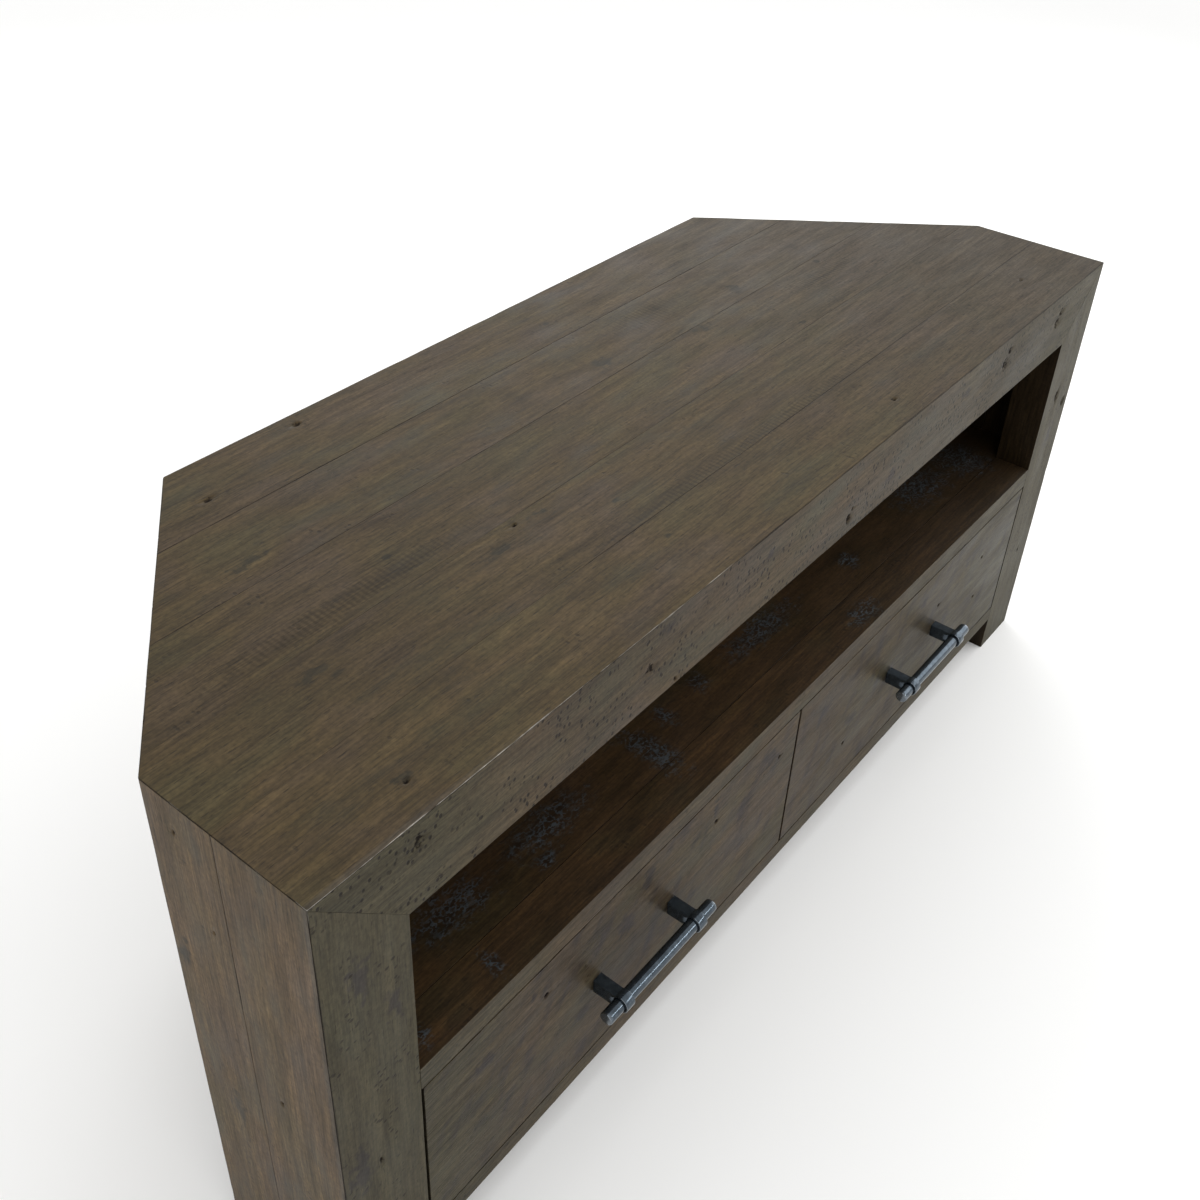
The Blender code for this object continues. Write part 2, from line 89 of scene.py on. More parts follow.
def softNoise(points, size, seed):
    # smooth noise from -1 to 1, whose lumps measure size
    scaled = points / np.array(size) + seed * 17.31
    cell = np.floor(scaled)
    part = scaled - cell
    part = part * part * (3 - 2 * part)
    total = np.zeros(len(points))
    for corner in itertools.product((0, 1), repeat=3):
        share = np.prod(np.where(corner, part, 1 - part), axis=1)
        value = np.sin((cell + corner) @ (127.1, 311.7, 74.7)) * 43758.5453
        total += share * (value - np.floor(value))
    return total * 2 - 1


def gridLines(low, high, step, dense=()):
    # positions along one edge: even steps, closer by the ends and round each dense spot
    lines = list(np.linspace(low, high, max(1, round((high - low) / step)) + 1))
    for inward in (0.3, 0.7, 1.2, 1.9, 3.0):
        lines += [low + inward * mm, high - inward * mm]
    for centre, reach in dense:
        lines += list(np.arange(centre - reach, centre + reach, 0.9 * mm))
    lines = sorted(line for line in lines if low <= line <= high)
    kept = [low]
    for line in lines:
        if line - kept[-1] > 0.25 * mm and high - line > 0.25 * mm:
            kept.append(line)
    return np.array(kept + [high])


def boxSurface(lines):
    # points and quads of a box whose faces follow three lists of grid lines
    counts = [len(line) for line in lines]
    strides = (counts[1] * counts[2], counts[2], 1)
    quads = []
    for axis, end in itertools.product(range(3), (0, 1)):
        u, v = [other for other in range(3) if other != axis]
        i, j = np.meshgrid(np.arange(counts[u] - 1), np.arange(counts[v] - 1), indexing="ij")
        base = strides[u] * i + strides[v] * j + strides[axis] * end * (counts[axis] - 1)
        loop = [base, base + strides[u], base + strides[u] + strides[v], base + strides[v]]
        if (end == 0) != (axis == 1):
            loop.reverse()
        quads.append(np.stack(loop, axis=-1).reshape(-1, 4))
    used, flat = np.unique(np.concatenate(quads), return_inverse=True)
    place = np.unravel_index(used, counts)
    points = np.stack([lines[axis][place[axis]] for axis in range(3)], axis=1)
    onFace = {
        (axis, end): place[axis] == end * (counts[axis] - 1)
        for axis, end in itertools.product(range(3), (0, 1))
    }
    return points, flat.reshape(-1, 4), onFace


def roundEdges(points, planes, radius):
    # wears every edge between two of the planes to that radius; returns how far each point moved
    push = np.zeros_like(points)
    square = np.zeros(len(points))
    for point, normal in planes:
        beyond = np.maximum(0, (points - point) @ normal + radius)
        push += beyond[:, None] * normal
        square += beyond ** 2
    length = np.sqrt(square)
    over = np.maximum(0, length - radius)
    points -= push * (over / np.maximum(length, 1e-9))[:, None]
    return over


def meshPiece(name, points, faces, materials, body, replaced, attributes=(), sharp=40):
    mesh = bpy.data.meshes.new(name)
    mesh.from_pydata(points.tolist(), [], faces)
    for key, values in dict(attributes).items():
        kind = "FLOAT_VECTOR" if values.ndim == 2 else "FLOAT"
        layer = mesh.attributes.new(key, kind, "POINT")
        part = "vector" if values.ndim == 2 else "value"
        layer.data.foreach_set(part, values.astype(np.float32).ravel())
    for material in materials:
        mesh.materials.append(material)
    mesh.shade_smooth()
    mesh.set_sharp_from_angle(angle=math.radians(sharp))
    piece = bpy.data.objects.new(name, mesh)
    bpy.context.scene.collection.objects.link(piece)
    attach(piece, body)
    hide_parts(*replaced)
    return piece


def linear(code):
    # sRGB hex to the linear colour that Blender's sockets take
    values = [int(code[i:i + 2], 16) / 255 for i in (1, 3, 5)]
    return [v / 12.92 if v <= 0.04045 else ((v + 0.055) / 1.055) ** 2.4 for v in values] + [1.0]


def addNode(tree, kind, inputs=(), stops=(), **settings):
    # one node with its settings, values and links; gives back its outputs
    node = tree.nodes.new("ShaderNode" + kind)
    for key, value in settings.items():
        setattr(node, key, value)
    for key, value in dict(inputs).items():
        if isinstance(value, bpy.types.NodeSocket):
            tree.links.new(value, node.inputs[key])
        else:
            node.inputs[key].default_value = value
    for number, (position, value) in enumerate(stops):
        elements = node.color_ramp.elements
        element = elements[number] if number < 2 else elements.new(position)
        element.position = position
        element.color = linear(value) if isinstance(value, str) else (value, value, value, 1.0)
    return node.outputs


def newMaterial(name, **values):
    # values that are the same all over the surface go straight onto the shader
    material = bpy.data.materials.new(name)
    material.use_nodes = True
    tree = material.node_tree
    shader = tree.nodes["Principled BSDF"]
    for key, value in values.items():
        shader.inputs[key].default_value = value
    return material, tree, shader


# Sizes in mm: along the grain, across it, through the board
pinePatterns = {
    "drift": ((300, 90, 90), 2),       # how the rings wander along the board
    "mottle": ((70, 24, 24), 4),       # cloudy uptake of the stain
    "blush": ((95, 55, 55), 3),        # lilac against green
    "streak": ((56, 3.4, 3.4), 3),     # early and late wood drawn out
    "band": ((130, 10, 10), 3),        # broad light and dark bands of grain
    "fibre": ((22, 1.4, 1.4), 3),      # fibres, drawn twice as coarse as real so that they show
    "grit": ((3.4, 2.6, 2.6), 3),      # roughness left by the wire brush, also drawn coarser
    "pore": ((11, 1.3, 1.3), 2),       # short dark pores
    "cluster": ((46, 22, 22), 2),      # where pits gather
    "wander": ((9, 7, 7), 3),          # ragged outlines
    "scribble": ((6, 4.6, 4.6), 2),        # torn, weathered flecks
}

topTones = {
    "olive": "#3B321D", "brown": "#443720", "warm": "#4A3D27", "grey": "#493E2C",
    "green": "#3F3B24", "lilac": "#483B32", "faded": "#453E34", "late": "#2B2111",
    "pore": "#161009", "stain": "#1E1F18", "knot": "#0F0A0A", "worn": "#B5AFA6",
    # grime is the tone of dark joints and arrises, and of the painted shade in the gaps round the drawers
    "grime": "#120C0E", "fleck": "#4A5056", "shine": 0.19,
}
frontTones = {
    **topTones, "olive": "#393222", "brown": "#42382A", "warm": "#493D2D", "grey": "#473E31",
    "green": "#3D3C2C", "lilac": "#443B34", "faded": "#3D3A2B", "late": "#2A2217",
    "stain": "#242024", "shine": 0.15,
}
# the sides: the top's tones made lighter and browner; the lightness is painted light, for the brighter light
# the side catches
sideLitTones = {
    **topTones, "olive": "#453A26", "brown": "#51412C", "warm": "#584730", "grey": "#544735",
    "green": "#494430", "lilac": "#54463C", "late": "#33281A", "stain": "#1E201C", "shine": 0.20,
}
# the bay: a dark warm stain, painted darker still as shade for the little light inside the bay
bayTones = {
    **topTones, "olive": "#302414", "brown": "#392915", "warm": "#3F2D18", "grey": "#392C1A",
    "green": "#2E2A18", "lilac": "#3A2B1C", "faded": "#2A1F10", "late": "#1F140A",
    "pore": "#100A06", "stain": "#1D1A17", "grime": "#0C0906", "fleck": "#3C4246", "shine": 0.2,
}
# the faces inside the case: the bay's tones darkened by about half, as painted shade for the little light
# that reaches them
insideShadedTones = {
    **bayTones, "olive": "#20180C", "brown": "#281D0D", "warm": "#2F2110", "grey": "#271E11",
    "green": "#1F1B10", "lilac": "#281D13", "faded": "#20180D", "late": "#140D07", "shine": 0.1,
}

# Kinds of placed marks: how ragged the outline is, then the masks made of it, each with the distance
# where it starts and where it is full, in shares of the mark's own size
markKinds = {
    "knots": (2.6, {"core": (2.25, 1.55), "halo": (5.0, 1.8)}),
    "stains": (3.2, {"stain": (2.7, 1.9)}),
    "bands": (1.2, {"band": (1.9, 0.7)}),
    "chatter": (1.5, {"ripple": (2.0, 1.1)}),
    "flecks": (2.6, {"fleck": (2.9, 1.5)}),
}

# What lies over the ground colour, from the bottom up: tone, and share where the mask is full
pineLayers = {
    "green": ("green", 0.45), "lilac": ("lilac", 0.45), "faded": ("faded", 0.75), "late": ("late", 0.34),
    "stain": ("stain", 0.62), "band": ("late", 0.3), "halo": ("late", 0.26), "pore": ("pore", 0.55),
    "pits": ("pore", 0.5), "scorch": ("late", 1.0), "fleck": ("fleck", 0.85), "smear": ("stain", 0.68),
    "ripple": ("late", 0.62), "core": ("knot", 0.88), "grime": ("grime", 1.0), "wear": ("worn", 1.0),
}

# How far a pattern darkens and lightens what is there, between two of its own values
pineShades = {
    "streak": (0.25, 0.75, 0.22, 0.24), "fibre": (0.28, 0.62, 0.44, 0.16),
    "grit": (0.3, 0.7, 0.20, 0.20), "band": (0.3, 0.7, 0.18, 0.18),
}
# Height of each mark in the relief, against the fibres
pineRelief = {"late": 0.4, "pore": -0.7, "pits": -0.8, "fleck": 1.2}
pineSettings = {
    "pitSpacing": (5.0, 6.5, 6.5),     # mm
    "smearAngle": -62,                 # degrees from the grain
    "smearSize": (40, 17, 17),         # mm along and across the wipe
    "relief": 0.3 * mm,
    "glossSpread": 0.07,
}


def stainedPine(name, tones, look):
    # pine, planed, wire-brushed, distressed and stained grey-brown under a flat lacquer:
    # soft olive and brown clouds, thin dark grain, dark pits, almost no shine
    shine = look.get("shine", tones["shine"])
    material, tree, shader = newMaterial(name, **{"IOR": 1.5, "Specular IOR Level": shine})
    grain = addNode(tree, "Attribute", attribute_name="grain")["Vector"]
    seed = look["seed"]
    moved = addNode(
        tree, "VectorMath", {0: grain, 1: (731 * seed, 211 * seed, 97 * seed)}, operation="ADD"
    )[0]
    field = {}
    for key, (size, detail) in pinePatterns.items():
        scaled = addNode(tree, "VectorMath", {0: moved, 1: [1 / s for s in size]}, operation="MULTIPLY")[0]
        field[key] = addNode(tree, "TexNoise", {"Vector": scaled, "Scale": 1.0, "Detail": detail})
    wander = field["wander"][0]

    # placed marks, by the distance from the nearest of each kind in shares of its own size
    masks = {}
    for kind, (raggedness, parts) in markKinds.items():
        outline = field["grit"][0] if kind == "knots" else wander
        nearest = None
        for along, across, halfLength, halfSpan in look.get(kind, ()):
            away = addNode(tree, "VectorMath", {0: grain, 1: (along, across, 0)}, operation="SUBTRACT")[0]
            shares = (1 / halfLength, 1 / halfSpan, 0)
            shaped = addNode(tree, "VectorMath", {0: away, 1: shares}, operation="MULTIPLY")[0]
            distance = addNode(tree, "VectorMath", {0: shaped}, operation="LENGTH")["Value"]
            ragged = addNode(
                tree, "Math", {0: outline, 1: raggedness, 2: distance}, operation="MULTIPLY_ADD"
            )[0]
            if nearest is not None:
                ragged = addNode(tree, "Math", {0: ragged, 1: nearest}, operation="MINIMUM")[0]
            nearest = ragged
        if nearest is not None:
            for key, (outside, inside) in parts.items():
                masks[key] = addNode(
                    tree, "MapRange", {"Value": nearest, "From Min": outside, "From Max": inside},
                    interpolation_type="SMOOTHSTEP",
                )[0]

    # rings round a pith outside the board, bent round the knots
    centred = addNode(tree, "VectorMath", {0: field["drift"][1], 1: (0.5, 0.5, 0.5)}, operation="SUBTRACT")[0]
    bent = addNode(
        tree, "VectorMath", {0: centred, 1: (0, look.get("wave", 46), 40), 2: grain}, operation="MULTIPLY_ADD"
    )[0]
    fromPith = addNode(tree, "VectorMath", {0: bent, 1: (0, *look["pith"])}, operation="SUBTRACT")[0]
    flat = addNode(tree, "VectorMath", {0: fromPith, 1: (0, 1, 1)}, operation="MULTIPLY")[0]
    radius = addNode(tree, "VectorMath", {0: flat}, operation="LENGTH")["Value"]
    if "halo" in masks:
        radius = addNode(tree, "Math", {0: masks["halo"], 1: 9.0, 2: radius}, operation="MULTIPLY_ADD")[0]
    rings = addNode(tree, "Math", {0: radius, 1: look.get("ring", 7.5)}, operation="DIVIDE")[0]
    phase = addNode(tree, "Math", {0: rings}, operation="FRACT")[0]
    ringStops = ((0.0, 0.12), (1.0, 0.0), (0.45, 0.18), (0.78, 1.0), (0.93, 0.75))
    masks["late"] = addNode(tree, "ValToRGB", {"Fac": phase}, stops=ringStops)[0]

    # clouds of green and lilac, the cooler right, dark pores, and short pits torn across the grain
    for key, none, full in (("green", 0.50, 0.68), ("lilac", 0.50, 0.32)):
        masks[key] = addNode(
            tree, "MapRange", {"Value": field["blush"][0], "From Min": none, "From Max": full}
        )[0]
    masks["faded"] = addNode(tree, "Attribute", attribute_name="fade")["Fac"]
    spacing = [1 / s for s in pineSettings["pitSpacing"]]
    cells = addNode(tree, "VectorMath", {0: moved, 1: spacing}, operation="MULTIPLY")[0]
    cell = addNode(tree, "TexVoronoi", {"Vector": cells, "Scale": 1.0, "Randomness": 1.0})["Distance"]
    for key, source, outside, inside in (
        ("pore", field["pore"][0], 0.60, 0.72),
        ("pit", cell, 0.34, 0.20),
        ("cluster", field["cluster"][0], *look.get("clusters", (0.60, 0.70))),
    ):
        masks[key] = addNode(
            tree, "MapRange", {"Value": source, "From Min": outside, "From Max": inside},
            interpolation_type="SMOOTHSTEP",
        )[0]
    masks["pits"] = addNode(tree, "Math", {0: masks["pit"], 1: masks["cluster"]}, operation="MULTIPLY")[0]

    # weathered flecks are thin curling lines on scorched ground
    if "fleck" in masks:
        fromLine = addNode(tree, "Math", {0: field["scribble"][0], 1: 0.5}, operation="SUBTRACT")[0]
        offLine = addNode(tree, "Math", {0: fromLine}, operation="ABSOLUTE")[0]
        line = addNode(
            tree, "MapRange", {"Value": offLine, "From Min": 0.085, "From Max": 0.035},
            interpolation_type="SMOOTHSTEP",
        )[0]
        broken = addNode(tree, "MapRange", {"Value": field["grit"][0], "From Min": 0.36, "From Max": 0.50})[0]
        torn = addNode(tree, "Math", {0: line, 1: broken}, operation="MULTIPLY")[0]
        charred = addNode(
            tree, "MapRange", {"Value": field["scribble"][0], "From Min": 0.50, "From Max": 0.62},
            interpolation_type="SMOOTHSTEP",
        )[0]
        burnt = addNode(tree, "Math", {0: charred, 1: 0.35, 2: 0.5}, operation="MULTIPLY_ADD")[0]
        masks["scorch"] = addNode(tree, "Math", {0: masks["fleck"], 1: burnt}, operation="MULTIPLY")[0]
        masks["fleck"] = addNode(tree, "Math", {0: masks["fleck"], 1: torn}, operation="MULTIPLY")[0]

    # stain wiped off on the slant
    if look.get("smear"):
        angle = math.radians(pineSettings["smearAngle"])
        turned = addNode(tree, "VectorRotate", {"Vector": moved, "Angle": angle})[0]
        shares = [1 / s for s in pineSettings["smearSize"]]
        wiped = addNode(tree, "VectorMath", {0: turned, 1: shares}, operation="MULTIPLY")[0]
        clouds = addNode(tree, "TexNoise", {"Vector": wiped, "Scale": 1.0, "Detail": 5.0})[0]
        masks["smear"] = addNode(
            tree, "MapRange", {"Value": clouds, "From Min": 0.46, "From Max": 0.76},
            interpolation_type="SMOOTHSTEP",
        )[0]

    # marks that the planer left across the grain, 5 mm apart
    if "ripple" in masks:
        waves = addNode(
            tree, "TexWave",
            {"Vector": grain, "Scale": 0.063, "Distortion": 1.6, "Detail": 2.0, "Detail Scale": 0.6},
            bands_direction="X",
        )[1]
        masks["ripple"] = addNode(tree, "Math", {0: waves, 1: masks["ripple"]}, operation="MULTIPLY")[0]

    # dark joints and arrises with painted shade in the drawer gaps, then the rubbed edges
    for key, cloudy in (("grime", 0.05), ("wear", 0.32)):
        edge = addNode(tree, "Attribute", attribute_name=key)["Fac"]
        uneven = addNode(tree, "MapRange", {"Value": wander, "From Min": cloudy, "From Max": 0.62})[0]
        masks[key] = addNode(tree, "Math", {0: edge, 1: uneven}, operation="MULTIPLY")[0]

    # colour: the ground, the layers on it, and the fibres that lighten and darken them all
    ramp = ((0.30, tones["olive"]), (0.74, tones["grey"]), (0.46, tones["brown"]), (0.62, tones["warm"]))
    colour = addNode(tree, "ValToRGB", {"Fac": field["mottle"][0]}, stops=ramp)[0]
    for key, (tone, share) in pineLayers.items():
        if key in masks:
            strength = addNode(
                tree, "Math", {0: masks[key], 1: look.get(key, share)}, operation="MULTIPLY"
            )[0]
            over = {0: strength, 6: colour, 7: linear(tones[tone])}
            colour = addNode(tree, "Mix", over, data_type="RGBA")[2]
    for key, (least, most, darker, lighter) in pineShades.items():
        drawn = look.get("streaks", 1.0) if key in ("streak", "fibre") else 1.0
        shade = addNode(
            tree, "MapRange", {"Value": field[key][0], "From Min": least, "From Max": most,
                               "To Min": 1 - darker * drawn, "To Max": 1 + lighter * drawn}
        )[0]
        colour = addNode(tree, "VectorMath", {0: colour, "Scale": shade}, operation="SCALE")[0]
    tree.links.new(colour, shader.inputs["Base Color"])

    spread = pineSettings["glossSpread"]
    rough = addNode(
        tree, "MapRange", {"Value": field["mottle"][0], "From Min": 0.3, "From Max": 0.7,
                           "To Min": look["gloss"] - spread, "To Max": look["gloss"] + spread}
    )[0]
    if "core" in masks:
        rough = addNode(tree, "Math", {0: masks["core"], 1: 0.4, 2: rough}, operation="MULTIPLY_ADD")[0]
    tree.links.new(rough, shader.inputs["Roughness"])
    height = addNode(
        tree, "Math", {0: field["grit"][0], 1: 0.6, 2: field["fibre"][0]}, operation="MULTIPLY_ADD"
    )[0]
    for key, rise in pineRelief.items():
        if key in masks:
            height = addNode(tree, "Math", {0: masks[key], 1: rise, 2: height}, operation="MULTIPLY_ADD")[0]
    bump = addNode(
        tree, "Bump", {"Height": height, "Strength": 0.35, "Distance": pineSettings["relief"]}
    )[0]
    tree.links.new(bump, shader.inputs["Normal"])
    return material


def plainTimber(name, light, dark, lengthAxis, ring=6.0, roughness=0.62):
    # sawn, unfinished pine or rotary-cut veneer: pale, dry, with dull dark growth lines
    material, tree, shader = newMaterial(name, IOR=1.5)
    place = addNode(tree, "TexCoord")["Object"]
    millimetres = addNode(tree, "VectorMath", {0: place, "Scale": 1000.0}, operation="SCALE")[0]
    sizes = {"line": (1.4, 60), "cloud": (35, 260), "fibre": (0.9, 22)}    # mm across and along the grain
    field = {}
    for key, (across, along) in sizes.items():
        shares = [1 / (along if axis == lengthAxis else across) for axis in range(3)]
        scaled = addNode(tree, "VectorMath", {0: millimetres, 1: shares}, operation="MULTIPLY")[0]
        field[key] = addNode(tree, "TexNoise", {"Vector": scaled, "Scale": 1.0, "Detail": 3.0})[0]
    phase = addNode(tree, "Math", {0: field["cloud"], 1: 60 / ring}, operation="MULTIPLY")[0]
    rings = addNode(tree, "Math", {0: phase}, operation="FRACT")[0]
    stops = ((0.0, 0.0), (1.0, 0.1), (0.5, 0.2), (0.85, 0.9))
    lines = addNode(tree, "ValToRGB", {"Fac": rings}, stops=stops)[0]
    dirt = addNode(tree, "Math", {0: lines, 1: 0.35}, operation="MULTIPLY")[0]
    streaks = addNode(tree, "Math", {0: field["line"], 1: 0.7, 2: dirt}, operation="MULTIPLY_ADD")[0]
    share = addNode(tree, "MapRange", {"Value": streaks, "From Min": 0.2, "From Max": 0.85})[0]
    colour = addNode(tree, "Mix", {0: share, 6: linear(light), 7: linear(dark)}, data_type="RGBA")[2]
    tree.links.new(colour, shader.inputs["Base Color"])
    rough = addNode(
        tree, "MapRange", {"Value": field["fibre"], "To Min": roughness - 0.1, "To Max": roughness + 0.12}
    )[0]
    tree.links.new(rough, shader.inputs["Roughness"])
    bump = addNode(tree, "Bump", {"Height": field["fibre"], "Strength": 0.3, "Distance": 0.2 * mm})[0]
    tree.links.new(bump, shader.inputs["Normal"])
    return material


def blackenedIron(name):
    # turned and filed iron, blackened in oil and waxed: dark grey with a blue cast, cloudy,
    # faint marks round the bar, a clear line of light along it, worn brighter on the edges
    material, tree, shader = newMaterial(name, Metallic=0.85)
    place = addNode(tree, "TexCoord")["Object"]
    cloud = addNode(tree, "TexNoise", {"Vector": place, "Scale": 240.0, "Detail": 4.0, "Roughness": 0.6})[0]
    turned = addNode(tree, "VectorMath", {0: place, 1: (1400, 90, 90)}, operation="MULTIPLY")[0]
    marks = addNode(tree, "TexNoise", {"Vector": turned, "Scale": 1.0, "Detail": 2.0})[0]
    stops = ((0.25, "#3A4147"), (0.80, "#5A636B"), (0.5, "#475058"))
    skin = addNode(tree, "ValToRGB", {"Fac": cloud}, stops=stops)[0]
    edge = addNode(tree, "Attribute", attribute_name="wear")["Fac"]
    uneven = addNode(tree, "Math", {0: edge, 1: cloud}, operation="MULTIPLY")[0]
    colour = addNode(tree, "Mix", {0: uneven, 6: skin, 7: linear("#989EA3")}, data_type="RGBA")[2]
    tree.links.new(colour, shader.inputs["Base Color"])
    rough = addNode(
        tree, "MapRange", {"Value": cloud, "From Min": 0.3, "From Max": 0.7, "To Min": 0.13, "To Max": 0.20}
    )[0]
    tree.links.new(rough, shader.inputs["Roughness"])
    height = addNode(tree, "Math", {0: marks, 1: 0.5, 2: cloud}, operation="MULTIPLY_ADD")[0]
    bump = addNode(tree, "Bump", {"Height": height, "Strength": 0.08, "Distance": 0.1 * mm})[0]
    tree.links.new(bump, shader.inputs["Normal"])
    return material


def zincSteel(name):
    # machine screws, zinc plated: pale grey with a fine cloudy bloom
    material, tree, shader = newMaterial(name, Metallic=1.0)
    place = addNode(tree, "TexCoord")["Object"]
    bloom = addNode(tree, "TexNoise", {"Vector": place, "Scale": 700.0, "Detail": 3.0})[0]
    colour = addNode(tree, "ValToRGB", {"Fac": bloom}, stops=((0.3, "#9FA3A8"), (0.7, "#C4C7CA")))[0]
    tree.links.new(colour, shader.inputs["Base Color"])
    rough = addNode(tree, "MapRange", {"Value": bloom, "To Min": 0.28, "To Max": 0.46})[0]
    tree.links.new(rough, shader.inputs["Roughness"])
    return material


wearSettings = {
    "bareUpTo": -0.13,     # x where the front's rubbed arris ends
    "coolFrom": 0.02,      # x from which the colour turns cooler, over the next 0.45 m
    "gapDepth": 7 * mm,    # how far behind the front the faces in the gaps round the drawers are darkened as painted shade
}
gapLow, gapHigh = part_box("bottom_rail")[1].z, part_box("shelf_front_rail")[0].z


def bareness(points):
    # share of the stain rubbed off an arris: most of it on the left of the front, elsewhere in spots
    x = points[:, 0]
    onFront = (points[:, 1] < front + 5 * mm) & (points[:, 2] > top - 5 * mm)
    rubbed = np.where(onFront, np.clip((wearSettings["bareUpTo"] - x) / 0.05, 0, 1), 0)
    spots = np.clip((softNoise(points * 1000, (14, 14, 14), 71) - 0.62) * 5, 0, 1)
    spots = np.where(onFront & (x > -0.1), 0, spots)
    return np.clip(rubbed * (0.75 + 0.4 * softNoise(points * 1000, (18, 18, 18), 70)) + spots, 0, 1)


def fading(points):
    # the colour turns cooler towards the right, and on the front also at its left end
    toRight = np.clip((points[:, 0] - wearSettings["coolFrom"]) / 0.45, 0, 1)
    toLeft = np.clip((-0.38 - points[:, 0]) / 0.1, 0, 1)
    return np.maximum(toRight, np.where(points[:, 1] < front + 4 * mm, toLeft, 0))


def shadeInGap(points):
    # painted shade: darkens the faces that the gaps round the drawers show, fully from about a millimetre in
    slack = 0.4 * mm
    inside = (np.abs(points[:, 0]) < opening + slack) & (points[:, 1] < front + wearSettings["gapDepth"])
    inside &= (points[:, 2] > gapLow - slack) & (points[:, 2] < gapHigh + slack)
    return np.where(inside, np.clip((points[:, 1] - front) / mm * 2 - 0.6, 0, 1), 0)


def ramped(stretches):
    # how dark a joint is along its length, from (from, to, share) stretches in metres
    def share(along):
        total = np.zeros(len(along)) + 0.05
        for start, end, amount in stretches:
            inside = np.clip((along - start) / 0.02, 0, 1) * np.clip((end - along) / 0.02, 0, 1)
            total = np.maximum(total, amount * inside)
        return total
    return share


# What a board has unless its piece says otherwise. Axes are numbered x, y, z, and a face is (axis, end).
boardSettings = {
    "grain": 0,                 # axis along the grain
    "across": 1,                # axis across it, on the face
    "face": (2, 1),             # face that shows the knots
    "pith": (30, -75),          # mm from the board's middle, across and through
    "gloss": 0.57,              # mean roughness
    "knotDepth": 1.8,           # mm
    "step": (7 * mm, 5 * mm, 9 * mm),
    "arris": 1.5,               # mm, rounding of the case's outer edges
    "edgeWear": 0.7,            # mm, rounding of the board's own edges
    "gapGrime": 1.0,
    "body": "case",
    "slot": "stained_timber",
    "tones": frontTones,
    "dark": ramped([(-1, 1, 0.5)]),
}
seeds = itertools.count(1)
allFaces = list(itertools.product(range(3), (0, 1)))


